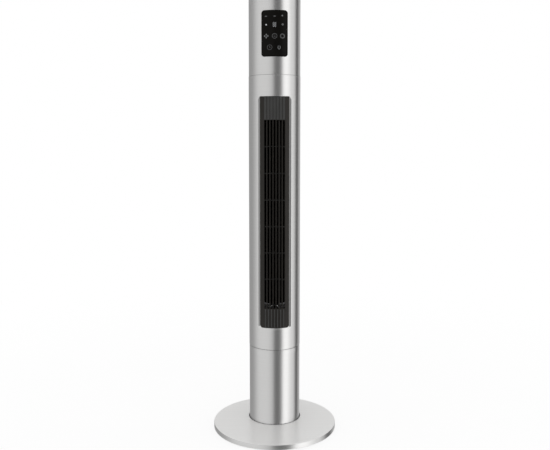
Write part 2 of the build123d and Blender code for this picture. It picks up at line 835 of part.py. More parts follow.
def blower_plate(bottom, opening, tab_side):
    """Adds a level plate to the part in hand, straight at the front, with two tabs for the grille."""
    with BuildSketch(level(bottom), mode=Mode.PRIVATE) as outline:
        Circle(plate_radius)
        with Locations((0, -plate_front)):
            Rectangle(2 * plate_radius, plate_radius, align=(Align.CENTER, Align.MAX), mode=Mode.SUBTRACT)
    extrude(outline.sketch, amount=plate_thickness)
    tab_root = bottom + plate_thickness if tab_side > 0 else bottom
    with BuildSketch(level(tab_root), mode=Mode.PRIVATE) as tabs:
        with Locations((-tab_middle, -plate_front), (tab_middle, -plate_front)):
            Rectangle(tab_width, tab_thickness, align=(Align.CENTER, Align.MIN))
    extrude(tabs.sketch, amount=tab_side * tab_height)
    tube(fan_level(bottom), opening, 0, plate_thickness, Mode.SUBTRACT)
    with Locations(*tab_seats):
        Hole(board_screw[2] + screw_gap, depth=tab_thickness)


with BuildPart() as motor_plate:
    blower_plate(motor_plate_bottom, shaft_opening_radius, 1)
    with Locations(*[spot(fan_level(motor_plate_top), x, y) for x, y in bush_points]):
        Hole(small_screw[2] + screw_gap, depth=plate_thickness)
motor_plate.part.label = "motor_plate"
export_step(motor_plate.part, "parts/motor_plate.step")

cup_ledge = 1.5
cup_seat = fan_level(bearing_plate_bottom + cup_ledge)
cup_height = bearing_top - bearing_plate_bottom - cup_ledge
with BuildPart() as bearing_plate:
    blower_plate(bearing_plate_bottom, bearing_bush_radius + slip_gap, -1)
    cup_wall_radius = bearing_cup_radius + bearing_cup_wall
    tube(fan_level(bearing_plate_top), cup_wall_radius, 0, bearing_top - bearing_plate_top)
    tube(cup_seat, bearing_cup_radius + slip_gap, 0, bearing_top, Mode.SUBTRACT)
bearing_plate.part.label = "bearing_plate"
export_step(bearing_plate.part, "parts/bearing_plate.step")


def fan_point(radius, turn):
    """Point at a radius and an angle from the impeller's axis."""
    return (radius * cos(radians(turn)), radius * sin(radians(turn)))


guide_low = motor_plate_top
guide_length = bearing_plate_bottom - motor_plate_top
outlet_edge = (window_half_width - grille_wall / 2, -flange_back - impeller_setback + guide_wall)
with BuildPart() as volute_wall:
    with BuildSketch(fan_level(guide_low)):
        with BuildLine():
            ThreePointArc(fan_point(34, 140), fan_point(38.5, 185), (-outlet_edge[0], outlet_edge[1]))
        trace(line_width=guide_wall)
    extrude(amount=guide_length)
volute_wall.part.label = "volute_wall"
export_step(volute_wall.part, "parts/volute_wall.step")

with BuildPart() as tongue_wall:
    with BuildSketch(fan_level(guide_low)):
        nose = fan_point(impeller_radius + tongue_gap + guide_wall, -32)
        with BuildLine():
            Line(outlet_edge, nose)
            ThreePointArc(nose, fan_point(36.5, -20), fan_point(42, -10))
        trace(line_width=guide_wall)
    extrude(amount=guide_length)
tongue_wall.part.label = "tongue_wall"
export_step(tongue_wall.part, "parts/tongue_wall.step")

# Fan motor, hung under the motor plate on rubber bushes
with BuildPart() as fan_motor:
    tube(fan_level(motor_bottom), motor_radius, 0, motor_top - motor_bottom)
    fillet(fan_motor.edges().group_by(Axis.Z)[0], 3)
    tube(fan_level(motor_bottom), motor_cap_radius, 0, -motor_cap_height)
    with BuildSketch(fan_level(motor_top - motor_ear_thickness)):
        Circle(motor_radius)
        with Locations(*bush_points):
            Circle(motor_ear_radius)
        for turn in (90, 210, 330):
            with Locations(Rotation(0, 0, turn)):
                Rectangle(motor_ear_circle, 2 * motor_ear_radius, align=(Align.MIN, Align.CENTER))
        with Locations(*bush_points):
            Circle(bush_bore, mode=Mode.SUBTRACT)
    extrude(amount=motor_ear_thickness)
    tube(fan_level(motor_top), motor_boss_radius, 0, motor_boss_top - motor_top)
    tube(
        fan_level(motor_shaft_bottom - 1),
        motor_shaft_radius + running_gap,
        0,
        motor_boss_top - motor_shaft_bottom + 1,
        Mode.SUBTRACT,
    )
    with BuildSketch(fan_level(motor_bottom + 10)):
        with PolarLocations(motor_radius, motor_vent_count):
            Rectangle(4, 3)
    extrude(amount=22, mode=Mode.SUBTRACT)
fan_motor.part.label = "fan_motor"
export_step(fan_motor.part, "parts/fan_motor.step")

with BuildPart() as motor_bushes:
    for x, y in bush_points:
        tube(spot(fan_level(motor_top), x, y), bush_radius, bush_bore, bush_length)
        tube(
            spot(fan_level(motor_top + bush_length / 3), x, y),
            bush_radius,
            bush_waist_radius,
            bush_length / 3,
            Mode.SUBTRACT,
        )
motor_bushes.part.label = "motor_bushes"
export_step(motor_bushes.part, "parts/motor_bushes.step")
motor_seats = [spot(fan_level(motor_top - motor_ear_thickness), x, y, turned=True) for x, y in bush_points]
motor_screws = screws(motor_seats, small_screw, motor_plate_top - motor_top + motor_ear_thickness)
motor_screws.part.label = "motor_screws"
export_step(motor_screws.part, "parts/motor_screws.step")

# Impeller: rings of curved blades between discs, on a motor shaft below and a stub shaft above
with BuildPart() as impeller:
    with BuildSketch(fan_level(impeller_bottom)):
        with BuildSketch(mode=Mode.PRIVATE) as blade:
            half_turn = blade_thickness / (blade_inner_radius + blade_outer_radius) * 180 / pi
            camber_radius = (blade_inner_radius + blade_outer_radius) / 2
            edges = []
            for side in (-1, 1):
                inner = fan_point(blade_inner_radius, side * half_turn)
                middle = fan_point(camber_radius, blade_lean / 2 - blade_bulge + side * half_turn)
                outer = fan_point(blade_outer_radius, blade_lean + side * half_turn)
                edges.append((inner, middle, outer))
            with BuildLine():
                ThreePointArc(*edges[0])
                Line(edges[0][2], edges[1][2])
                ThreePointArc(*reversed(edges[1]))
                Line(edges[1][0], edges[0][0])
            make_face()
        with PolarLocations(0, blade_count):
            add(blade.sketch)
    extrude(amount=impeller_top - impeller_bottom)
    for section in range(1, impeller_sections):
        disc_middle = impeller_bottom + section * section_length
        tube(
            fan_level(disc_middle - disc_thickness / 2),
            impeller_radius,
            ring_inner_radius,
            disc_thickness,
        )
    for end in (impeller_bottom - disc_thickness / 2, impeller_top - disc_thickness / 2):
        tube(fan_level(end), impeller_radius, 0, disc_thickness)
    tube(fan_level(motor_hub_bottom), motor_hub_radius, 0, motor_hub_top - motor_hub_bottom)
    tube(fan_level(impeller_top - stub_hub_length), stub_hub_radius, 0, stub_hub_length)
    tube(
        fan_level(motor_hub_bottom),
        motor_shaft_radius + running_gap,
        0,
        motor_hub_top - motor_hub_bottom,
        Mode.SUBTRACT,
    )
    tube(
        fan_level(impeller_top + disc_thickness / 2),
        stub_shaft_radius + running_gap,
        0,
        -stub_hub_length - disc_thickness / 2,
        Mode.SUBTRACT,
    )
    set_screw_seat = Plane(
        origin=(0, column_setback + impeller_setback - motor_hub_radius, set_screw_height),
        x_dir=(1, 0, 0),
        z_dir=(0, -1, 0),
    )
    with Locations(set_screw_seat):
        Hole(set_screw_radius + running_gap, depth=motor_hub_radius)
impeller.part.label = "impeller"
export_step(impeller.part, "parts/impeller.step")

with BuildPart() as motor_shaft:
    tube(fan_level(motor_shaft_bottom), motor_shaft_radius, 0, motor_hub_top - motor_shaft_bottom)
    chamfer(motor_shaft.edges().filter_by(GeomType.CIRCLE), 0.5)
motor_shaft.part.label = "motor_shaft"
export_step(motor_shaft.part, "parts/motor_shaft.step")

with BuildPart() as stub_shaft:
    stub_bottom = impeller_top - stub_hub_length
    tube(fan_level(stub_bottom), stub_shaft_radius, 0, bearing_top - stub_bottom)
    chamfer(stub_shaft.edges().filter_by(GeomType.CIRCLE), 0.4)
stub_shaft.part.label = "stub_shaft"
export_step(stub_shaft.part, "parts/stub_shaft.step")

with BuildPart() as set_screw:
    tube(set_screw_seat, set_screw_radius, 0, -set_screw_length + running_gap)
    with BuildSketch(set_screw_seat):
        RegularPolygon(set_screw_radius * 0.55, 6)
    extrude(amount=-set_screw_length / 2, mode=Mode.SUBTRACT)
set_screw.part.label = "set_screw"
export_step(set_screw.part, "parts/set_screw.step")

with BuildPart() as top_bearing:
    tube(cup_seat, bearing_bush_radius, stub_shaft_radius + running_gap, cup_height)
top_bearing.part.label = "top_bearing"
export_step(top_bearing.part, "parts/top_bearing.step")

with BuildPart() as bearing_cup:
    tube(cup_seat, bearing_cup_radius, bearing_bush_radius + running_gap, cup_height)
bearing_cup.part.label = "bearing_cup"
export_step(bearing_cup.part, "parts/bearing_cup.step")

# Control panel and what lies behind it
key_points = [(step * upper_key_pitch, key_row_upper) for step in (-1, 0, 1)]
key_points += [(step * lower_key_pitch / 2, key_row_lower) for step in (-1, 1)]
lamp_points = [(step * lamp_pitch, lamp_row_top) for step in (-1, 0, 1)]
lamp_points += [(step * lamp_pitch, display_middle) for step in (-1, 1)]

with BuildPart() as control_panel:
    with BuildSketch(facing(0)):
        with Locations((0, panel_middle)):
            RectangleRounded(panel_width, panel_height, panel_corner)
    extrude(amount=sleeve_radius)
    tube(level(0), tube_radius + panel_proud, tube_bore, total_height, Mode.INTERSECT)
control_panel.part.label = "control_panel"
export_step(control_panel.part, "parts/control_panel.step")

carrier_radius = tube_bore - slip_gap
board_points = [
    (side * board_screw_spacing[0] / 2, panel_middle + end * board_screw_spacing[1] / 2)
    for side in (-1, 1)
    for end in (-1, 1)
]
with BuildPart() as panel_carrier:
    with BuildSketch(facing(0)):
        with Locations((0, panel_middle)):
            RectangleRounded(carrier_width, carrier_height, panel_corner)
    extrude(amount=sleeve_radius)
    tube(level(0), carrier_radius, carrier_radius - carrier_thickness, total_height, Mode.INTERSECT)
    with BuildSketch(facing(board_depth)):
        with Locations(*board_points):
            Circle(standoff_radius)
    extrude(amount=standoff_reach)
    with BuildSketch(facing(board_depth)):
        with Locations((0, display_middle)):
            Rectangle(display_width + 1, display_height + 1)
        with Locations(*key_points):
            Circle(key_hole_radius)
        with Locations(*lamp_points):
            Circle(lamp_hole_radius)
    extrude(amount=sleeve_radius, mode=Mode.SUBTRACT)
    with Locations(*[spot(facing(board_depth), x, z, turned=True) for x, z in board_points]):
        Hole(board_screw[2] + screw_gap, depth=4)
panel_carrier.part.label = "panel_carrier"
export_step(panel_carrier.part, "parts/panel_carrier.step")

with BuildPart() as control_board:
    with BuildSketch(facing(board_depth - board_thickness)):
        with Locations((0, panel_middle)):
            Rectangle(board_width, board_height)
        with Locations(*board_points):
            Circle(board_screw[2] + screw_gap, mode=Mode.SUBTRACT)
    extrude(amount=board_thickness)
control_board.part.label = "control_board"
export_step(control_board.part, "parts/control_board.step")
board_seats = [spot(facing(board_depth - board_thickness), x, z, turned=True) for x, z in board_points]
board_screws = screws(board_seats, board_screw, board_thickness + 3.5)
board_screws.part.label = "board_screws"
export_step(board_screws.part, "parts/board_screws.step")

with BuildPart() as display_module:
    with BuildSketch(facing(board_depth)):
        with Locations((0, display_middle)):
            Rectangle(display_width, display_height)
    extrude(amount=display_depth)
display_module.part.label = "display_module"
export_step(display_module.part, "parts/display_module.step")

with BuildPart() as touch_springs:
    for x, z in key_points:
        panel_back = sqrt(tube_bore**2 - (abs(x) + key_spring_radius) ** 2)
        spring_length = panel_back - board_depth - slip_gap
        tube(spot(facing(board_depth), x, z), key_spring_radius, key_spring_radius / 2, spring_length)
touch_springs.part.label = "touch_springs"
export_step(touch_springs.part, "parts/touch_springs.step")

chassis_bottom = head_seam + collar_reach
power_points = [
    (side * power_screw_spacing[0] / 2, power_board_middle + end * power_screw_spacing[1] / 2)
    for side in (-1, 1)
    for end in (-1, 1)
]
chassis_face = facing(-chassis_back - chassis_thickness)
with BuildPart() as board_chassis:
    tube(level(chassis_bottom), chassis_foot_radius, chassis_foot_bore, chassis_thickness)
    with BuildSketch(chassis_face):
        with Locations((0, chassis_bottom)):
            Rectangle(chassis_width, chassis_top - chassis_bottom, align=(Align.CENTER, Align.MIN))
    extrude(amount=chassis_thickness)
    with Locations(*[spot(chassis_face, x, z, turned=True) for x, z in power_points]):
        Cylinder(standoff_radius, power_standoff, align=(Align.CENTER, Align.CENTER, Align.MIN))
    with Locations(*[spot(chassis_face.offset(-power_standoff), x, z, turned=True) for x, z in power_points]):
        Hole(board_screw[2] + screw_gap, depth=power_standoff + chassis_thickness)
board_chassis.part.label = "board_chassis"
export_step(board_chassis.part, "parts/board_chassis.step")

power_face = chassis_face.offset(-power_standoff - board_thickness)
with BuildPart() as power_board:
    with BuildSketch(power_face):
        with Locations((0, power_board_middle)):
            Rectangle(power_board_width, power_board_height)
        with Locations(*power_points):
            Circle(board_screw[2] + screw_gap, mode=Mode.SUBTRACT)
    extrude(amount=board_thickness)
power_board.part.label = "power_board"
export_step(power_board.part, "parts/power_board.step")
power_seats = [spot(power_face, x, z, turned=True) for x, z in power_points]
power_board_screws = screws(power_seats, board_screw, board_thickness + power_standoff + 2)
power_board_screws.part.label = "power_board_screws"
export_step(power_board_screws.part, "parts/power_board_screws.step")

# Transformer, relays and a round capacitor: width, height and depth on the board
component_blocks = {(-16, 905): (28, 26, 20), (16, 912): (16, 12, 15), (16, 896): (16, 12, 15)}
with BuildPart() as power_components:
    for (x, z), (width, height, depth) in component_blocks.items():
        with Locations(spot(power_face, x, z, turned=True)):
            Box(width, height, depth, align=(Align.CENTER, Align.CENTER, Align.MIN))
    with Locations(spot(power_face, -14, 866, turned=True)):
        Cylinder(8, 22, align=(Align.CENTER, Align.CENTER, Align.MIN))
power_components.part.label = "power_components"
export_step(power_components.part, "parts/power_components.step")

print("swing ratio", gear_teeth / pinion_teeth, "pinion at", pinion_distance, column_setback)
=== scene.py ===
# %% [markdown]
# # A tower fan in brushed steel
# The fan is a steel column that swings on a round foot, with a black air outlet down its front.
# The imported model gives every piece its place, so it is loaded first and left where it is.
# Each later step dresses one piece of it. Sizes are written in millimetres, as on a drawing, and
# become metres only when a mesh is made.

from math import atan2, cos, pi, radians, sin, sqrt

import bmesh
import bpy
import numpy as np
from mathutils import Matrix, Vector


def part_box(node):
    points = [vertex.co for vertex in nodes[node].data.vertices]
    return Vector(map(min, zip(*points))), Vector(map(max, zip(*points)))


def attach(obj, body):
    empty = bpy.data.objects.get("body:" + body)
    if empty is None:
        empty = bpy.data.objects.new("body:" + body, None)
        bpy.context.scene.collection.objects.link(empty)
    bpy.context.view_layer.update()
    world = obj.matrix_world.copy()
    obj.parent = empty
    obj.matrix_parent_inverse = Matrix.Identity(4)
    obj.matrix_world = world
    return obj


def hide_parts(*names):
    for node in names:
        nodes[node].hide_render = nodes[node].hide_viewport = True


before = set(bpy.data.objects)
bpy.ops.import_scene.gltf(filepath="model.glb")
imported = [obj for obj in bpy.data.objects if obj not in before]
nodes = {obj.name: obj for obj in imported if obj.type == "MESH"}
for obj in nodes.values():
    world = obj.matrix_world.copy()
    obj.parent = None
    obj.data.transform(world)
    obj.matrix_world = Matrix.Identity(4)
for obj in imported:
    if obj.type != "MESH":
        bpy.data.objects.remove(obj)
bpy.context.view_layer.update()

# %% [markdown]
# ## Camera
# The fan is seen from a little below its head, by a lens that looks slightly down. More tilt would
# make the column lean in the picture, so a small lens shift does the rest of the framing. The
# distance follows from how fast the column narrows downwards.

# %% Camera
MM = 0.001
lens_tilt = 5
lens = bpy.data.cameras.new("camera")
lens.sensor_width, lens.lens = 36, 44.77
lens.shift_x, lens.shift_y = 0.0008, -0.04
camera = bpy.data.objects.new("camera", lens)
camera.location = (0, -1.524, 0.644)
camera.rotation_euler = (radians(90 - lens_tilt), 0, 0)
bpy.context.collection.objects.link(camera)
bpy.context.scene.camera = camera
bpy.context.scene.view_settings.view_transform = "Standard"
print("camera stands", round(-camera.location.y / MM), "mm in front of the foot's middle")

# %% [markdown]
# ## Small helpers
# A material and a geometry tree are both made of nodes, so one helper can make any node, set its
# options and link its inputs. What it gives can be added and multiplied like a number, and every
# such sum becomes a node too. A mesh helper takes points and faces, welds what lies together and
# gives a smooth mesh that stays sharp at real edges.

# %% Node helpers


class Output:
    """An output of a node. A sum of outputs is made of nodes too, but reads like any other sum."""

    def __init__(self, tree, socket):
        self.tree, self.socket = tree, socket

    def maths(self, operation, other=0.0, swap=False):
        terms = {0: other, 1: self} if swap else {0: self, 1: other}
        return node(self.tree, "ShaderNodeMath", terms, operation=operation)

    def __add__(self, other):
        return self.maths("ADD", other)

    def __sub__(self, other):
        return self.maths("SUBTRACT", other)

    def __rsub__(self, other):
        return self.maths("SUBTRACT", other, swap=True)

    def __mul__(self, other):
        return self.maths("MULTIPLY", other)

    def __truediv__(self, other):
        return self.maths("DIVIDE", other)


def connect(made, inputs):
    """Sets inputs of a node. Each is a plain value, or an output or a list of outputs to link."""
    for key, value in inputs.items():
        for part in value if isinstance(value, list) else [value]:
            if isinstance(part, Output):
                part.tree.links.new(part.socket, made.inputs[key])
            else:
                made.inputs[key].default_value = part


def node(tree, kind, inputs=None, give=0, **options):
    """Adds a node with its options and inputs, and gives the output of that name or number."""
    made = tree.nodes.new(kind)
    for option, value in options.items():
        setattr(made, option, value)
    connect(made, inputs or {})
    return Output(tree, made.outputs[give]) if made.outputs else None


def axes_of(where):
    """The x, y and z of a vector."""
    return [node(where.tree, "ShaderNodeSeparateXYZ", {0: where}, axis) for axis in "XYZ"]


print("node helpers ready")

# %% Mesh helpers
SHARP_ANGLE, WELD_REACH = 30, 0.002


def soften(mesh):
    """Shades a mesh smooth, apart from edges that turn by more than the sharp angle."""
    mesh.polygons.foreach_set("use_smooth", [True] * len(mesh.polygons))
    mesh.set_sharp_from_angle(angle=radians(SHARP_ANGLE))


def weld(mesh):
    """Joins points that lie together and has all faces point outwards."""
    work = bmesh.new()
    work.from_mesh(mesh)
    bmesh.ops.remove_doubles(work, verts=work.verts, dist=WELD_REACH * MM)
    bmesh.ops.recalc_face_normals(work, faces=work.faces)
    work.to_mesh(mesh)
    work.free()


def mesh_from(name, points, faces, finish, **values):
    """Mesh in metres from points in millimetres, welded, with its faces pointing outwards.
    Further values are lists with a number for each point, kept as attributes of that name."""
    mesh = bpy.data.meshes.new(name)
    mesh.from_pydata((np.asarray(points, float) * MM).tolist(), [], faces)
    for key, numbers in values.items():
        mesh.attributes.new(key, "FLOAT", "POINT").data.foreach_set("value", numbers)
    weld(mesh)
    mesh.materials.append(finish)
    soften(mesh)
    return mesh


def in_scene(name, data):
    """Puts an object of a name in the scene."""
    made = bpy.data.objects.new(name, data)
    bpy.context.collection.objects.link(made)
    return made


def keep_result(piece, modifier):
    """Gives a piece the plain mesh that its modifier makes, and removes the modifier."""
    made = piece.evaluated_get(bpy.context.evaluated_depsgraph_get())
    mesh = bpy.data.meshes.new_from_object(made)
    piece.modifiers.remove(modifier)
    mesh.name = piece.name
    piece.data = mesh


def place(piece, body, slot, *stands_for):
    """Has a finished piece ride on its body and hides the nodes it stands for. The slot is not used."""
    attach(piece, body)
    if stands_for:
        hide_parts(*stands_for)
    print(piece.name, "has", len(piece.data.polygons), "faces and rides on", body)


def add_piece(mesh, body, slot, *stands_for):
    """Puts a mesh in the scene as a piece of its own name."""
    place(in_scene(mesh.name, mesh), body, slot, *stands_for)


print("mesh helpers ready: edges stay sharp above", SHARP_ANGLE, "degrees")

# %% [markdown]
# ## Brushed steel
# The column is stainless sheet that was brushed around its axis. Thousands of fine scratches lie
# level, so a reflection is smeared up and down and stays crisp from side to side: that gives the
# long upright bands. An anisotropic metal does the same. It needs to know the way across the
# scratches, which comes from a UV map named "grain": u runs across them and v along them.
# Noise that is stretched along v makes the scratches themselves.

# %% Finish helpers


def new_finish(name):
    """Material with its tree and its surface shader."""
    finish = bpy.data.materials.new(name)
    finish.use_nodes = True
    return finish, finish.node_tree, finish.node_tree.nodes["Principled BSDF"]


def noise(where, scale, detail, roughness=0.5):
    """Noise at a place, with most of its values between 0.3 and 0.7."""
    grain = {"Vector": where, "Scale": scale, "Detail": detail, "Roughness": roughness}
    return node(where.tree, "ShaderNodeTexNoise", grain, "Fac")


def ramp(value, low, high, start=0.3, end=0.7, kind="LINEAR"):
    """Spreads a value, by default a noise, over a range."""
    ends = {"Value": value, "From Min": start, "From Max": end, "To Min": low, "To Max": high}
    return node(value.tree, "ShaderNodeMapRange", ends, interpolation_type=kind)


def mixed(tree, share, first, second):
    """Blend of two values by the share of the second."""
    return node(tree, "ShaderNodeMix", {"Factor": share, "A": first, "B": second})


def tinted(value, red, green, blue):
    """Colour whose three parts follow a noise, each over its own range."""
    parts = {"Red": ramp(value, *red), "Green": ramp(value, *green), "Blue": ramp(value, *blue)}
    return node(value.tree, "ShaderNodeCombineColor", parts)


print("finish helpers ready")

# %% Steel finish


def brushed_steel(name, tone, roughness, stretch, satin=0.0):
    """Steel with level scratches. The stretch is how much more a reflection is smeared across them.
    Satin is the share of matte light on level faces, which were blasted before they were brushed."""
    across, along, broad_scale, broad_share = 2600, 14, 0.16, 0.45
    scratch_strength, scratch_depth, dullest, brightest = 0.06, 0.2, 1.12, 0.9
    warm_ranges = (0.95, 1.03), (0.945, 1.025), (0.935, 1.015)
    level_from, level_to = 0.8, 0.95
    finish, tree, surface = new_finish(name)
    grain = node(tree, "ShaderNodeUVMap", uv_map="grain")
    streaks = []
    for step in (1, broad_scale):
        scale = (across * step, along * step, 1)
        drawn = node(tree, "ShaderNodeMapping", {"Vector": grain, "Scale": scale})
        streaks.append(noise(drawn, 1, 3, 0.65))
    fine, broad = streaks
    both = mixed(tree, broad_share, fine, broad)
    scratches = {"Height": fine, "Strength": scratch_strength, "Distance": scratch_depth * MM}
    look = {
        "Base Color": tinted(both, *[(tone * low, tone * high) for low, high in warm_ranges]),
        "Roughness": ramp(both, roughness * dullest, roughness * brightest),
        "Normal": node(tree, "ShaderNodeBump", scratches),
        "Tangent": node(tree, "ShaderNodeTangent", direction_type="UV_MAP", uv_map="grain"),
        "Metallic": 1,
        "Anisotropic": stretch,
    }
    if satin:
        upward = axes_of(node(tree, "ShaderNodeNewGeometry", give="Normal"))[2]
        look["Metallic"] = ramp(upward, 1.0, 1 - satin, level_from, level_to)
    connect(surface, look)
    return finish


def lay_grain(mesh, axis_y):
    """UV map "grain" in metres: level scratches round an upright axis, and along X on flat tops."""
    flat_from, rim_slope = 0.7, 0.3
    layer = mesh.uv_layers.new(name="grain")
    axis_y *= MM
    for face in mesh.polygons:
        flat = abs(face.normal.z) > flat_from
        middle = atan2(face.center.x, axis_y - face.center.y)
        for loop in face.loop_indices:
            x, y, z = mesh.vertices[mesh.loops[loop].vertex_index].co
            reach = sqrt(x * x + (y - axis_y) ** 2)
            turn = middle + (atan2(x, axis_y - y) - middle + pi) % (2 * pi) - pi
            layer.data[loop].uv = (y, x) if flat else (z - rim_slope * reach, turn * reach)


column_steel = brushed_steel("column_steel", tone=0.8, roughness=0.31, stretch=0.6)
foot_steel = brushed_steel("foot_steel", tone=0.85, roughness=0.35, stretch=0.8, satin=0.5)
print("steel finishes:", column_steel.name, foot_steel.name)

# %% [markdown]
# ## Plastics, iron and small parts
# Moulded plastic is never one colour: the mould leaves a fine grain and the shade drifts a little.
# Castings are rougher, rolled plate is cloudy and a circuit board is mottled under its varnish.
# All of these can be one recipe with other numbers: two noises on Object coordinates, a small one
# for the grain and a large one for the drift, that move colour, roughness and bump together.

# %% Grained finishes


def grained(name, dark, light, grain_mm, roughness, relief, metal=0.0, shine=0.5):
    """Finish between two colours, with a grain of a size and a relief in millimetres."""
    drift_mm, drift_share, bump_strength = 30, 0.5, 0.5
    finish, tree, surface = new_finish(name)
    where = node(tree, "ShaderNodeTexCoord", give="Object")
    grain, drift = noise(where, 1 / (grain_mm * MM), 2), noise(where, 1 / (drift_mm * MM), 4)
    shade = ramp(mixed(tree, drift_share, grain, drift), 0, 1)
    colours = {"Factor": shade, 6: (*dark, 1), 7: (*light, 1)}
    bump = {"Height": grain, "Strength": bump_strength, "Distance": relief * MM}
    look = {
        "Base Color": node(tree, "ShaderNodeMix", colours, 2, data_type="RGBA"),
        "Roughness": ramp(grain, *roughness),
        "Normal": node(tree, "ShaderNodeBump", bump),
        "Metallic": metal,
        "Specular IOR Level": shine,
    }
    connect(surface, look)
    return finish


deep_black, warm_black = (0.0098, 0.0078, 0.006), (0.0165, 0.0136, 0.0105)
black_plastic = grained("moulded_black_plastic", deep_black, warm_black, 0.5, (0.4, 0.52), 0.03, shine=0.3)
# A lighter copy of the grille's black plastic, painted light: the panel ribs and tie bars are one moulding
# with the dark slats, and this copy stands in for the light they catch.
painted_lit_low, painted_lit_high = (0.036, 0.036, 0.035), (0.05, 0.05, 0.049)
painted_lit_plastic = grained("black_plastic_painted_lit", painted_lit_low, painted_lit_high, 0.5, (0.5, 0.62), 0.03, shine=0.2)
screw_steel = grained(
    "zinc_screw_steel", (0.5, 0.5, 0.48), (0.66, 0.66, 0.65), 0.8, (0.28, 0.4), 0.01, metal=1.0
)
# Each has a name, two colours, the grain's size, a range of roughness, the relief, metal and shine
recipes = {
    "rubber": ("black_rubber", (0.012,) * 3, (0.024,) * 3, 0.7, (0.7, 0.85), 0.04, 0, 0.3),
    "cast_iron": ("cast_iron", (0.05, 0.05, 0.05), (0.11, 0.105, 0.1), 1.6, (0.6, 0.8), 0.3),
    "plate_steel": ("blackened_plate", (0.09, 0.09, 0.095), (0.15, 0.15, 0.155), 6, (0.4, 0.55), 0.01, 1),
    "pale_plastic": ("natural_nylon", (0.62, 0.6, 0.54), (0.72, 0.7, 0.65), 1.2, (0.4, 0.52), 0.02),
    "motor_shell": ("motor_shell", (0.3, 0.3, 0.31), (0.42, 0.42, 0.43), 2, (0.3, 0.45), 0.02, 1),
    "bearing_bronze": ("sintered_bronze", (0.36, 0.2, 0.08), (0.55, 0.34, 0.15), 0.6, (0.4, 0.55), 0.02, 1),
    "display_black": ("display_black", (0.01,) * 3, (0.02,) * 3, 0.6, (0.3, 0.4), 0.01),
    "circuit_board": ("circuit_board", (0.01, 0.09, 0.04), (0.03, 0.17, 0.07), 2.2, (0.3, 0.45), 0.02),
}
finishes = {"black_plastic": black_plastic, "screw_steel": screw_steel}
finishes |= {slot: grained(*recipe) for slot, recipe in recipes.items()}
print(len(finishes), "grained finishes")

# %% [markdown]
# ## Steel tubes
# The stand, the long sleeve and the head are three tubes of 1 mm sheet. A plain cylinder with
# holes cut by a boolean would shade badly next to the holes. Here each window gets its own patch of
# sheet instead: rings of points that start as the patch's straight border and turn step by step
# into the outline of the window. At the air outlet the last rings go down a lip that is pressed
# inwards. Every point is worked out on the true cylinder, so that the reflections stay clean.

# %% Window outlines
COLUMN_Y = 27.0
# Points along an upright and a level side of a window, and over half of a corner
UPRIGHT, LEVEL, ARC = 84, 36, 6


def window_outline(half_width, bottom, top, low_round, high_round=None):
    """Points (x, z) round a window and the way out of it at each, from the top left corner down."""
    high_round = high_round or low_round
    corners = (
        (-half_width + high_round, top - high_round, high_round, 135),
        (-half_width + low_round, bottom + low_round, low_round, 225),
        (half_width - low_round, bottom + low_round, low_round, 315),
        (half_width - high_round, top - high_round, high_round, 405),
    )
    points, ways = [], []
    for side, straight in enumerate((UPRIGHT, LEVEL, UPRIGHT, LEVEL)):
        x0, z0, round0, turn0 = corners[side]
        x1, z1, round1 = corners[(side + 1) % 4][:3]
        turns = turn0 + 45 * np.arange(ARC) / ARC
        turns = np.concatenate([turns, np.full(straight, turn0 + 45), turns + 45])
        way = np.stack([np.cos(np.radians(turns)), np.sin(np.radians(turns))], -1)
        along = np.concatenate([np.zeros(ARC), np.arange(straight) / straight, np.ones(ARC)])[:, None]
        middle = (1 - along) * (x0, z0) + along * (x1, z1)
        points.append(middle + way * (round0 + along * (round1 - round0)))
        ways.append(way)
    return np.concatenate(points), np.concatenate(ways)


def patch_border(half, bottom, top):
    """The patch's straight border in the order of a window's outline, as (turn, height)."""
    upright, level = np.arange(UPRIGHT + 2 * ARC), np.arange(LEVEL + 2 * ARC)
    upright, level = upright / len(upright), level / len(level)
    sides = (
        (-half + 0 * upright, top + (bottom - top) * upright),
        (-half + 2 * half * level, bottom + 0 * level),
        (half + 0 * upright, bottom + (top - bottom) * upright),
        (half - 2 * half * level, top + 0 * level),
    )
    return np.concatenate([np.stack(side, -1) for side in sides])


def on_skin(radius, turns, heights):
    """Points of a round skin. A turn is counted from the front, towards the right."""
    turns, heights = np.broadcast_arrays(turns, heights)
    return np.stack([radius * np.sin(turns), COLUMN_Y - radius * np.cos(turns), heights], -1)


def on_face(points, reach, side=-1, middle=COLUMN_Y):
    """Points (x, z) of a flat drawing, bent to a round face at the front (-1) or the back (1)."""
    x, z = np.asarray(points, float).T
    return np.stack([x, middle + side * np.sqrt(reach**2 - x**2), z], -1)


def quads(rows, columns, start=0, ring=True):
    """Faces between rows of points, which close into rings or stay open."""
    faces = []
    for row in range(rows - 1):
        for step in range(columns if ring else columns - 1):
            a, b = start + row * columns + step, start + row * columns + (step + 1) % columns
            faces.append((a, b, b + columns, a + columns))
    return faces


print("an outline has", 2 * (UPRIGHT + LEVEL + 4 * ARC), "points")

# %% Sheet tubes with windows
SHEET = 1
PATCH_STEPS = 12


def pressed_rings(radius, window, band, drop, wall_radius, hem=0):
    """Rings from the outer skin down a pressed edge, on to the wall's end and back to the inner skin."""
    outline, ways = window
    band = np.broadcast_to(np.asarray(band, float), len(outline))[:, None]

    def at(grow, reach):
        return on_face(outline + grow * ways, reach, middle=0)

    rings, bend = [], 0.2
    for part in (0, 0.05, 0.1, 0.15, bend, 0.5, 0.9, 1):
        fall = part**2 / (2 * bend) if part < bend else part - bend / 2
        rings.append(at(band * (1 - part), radius - drop * fall / (1 - bend / 2)))
    rings.append(at(0, wall_radius))
    if hem:
        rings += [at(hem, wall_radius), at(band + 2 * hem, radius - SHEET)]
    return rings


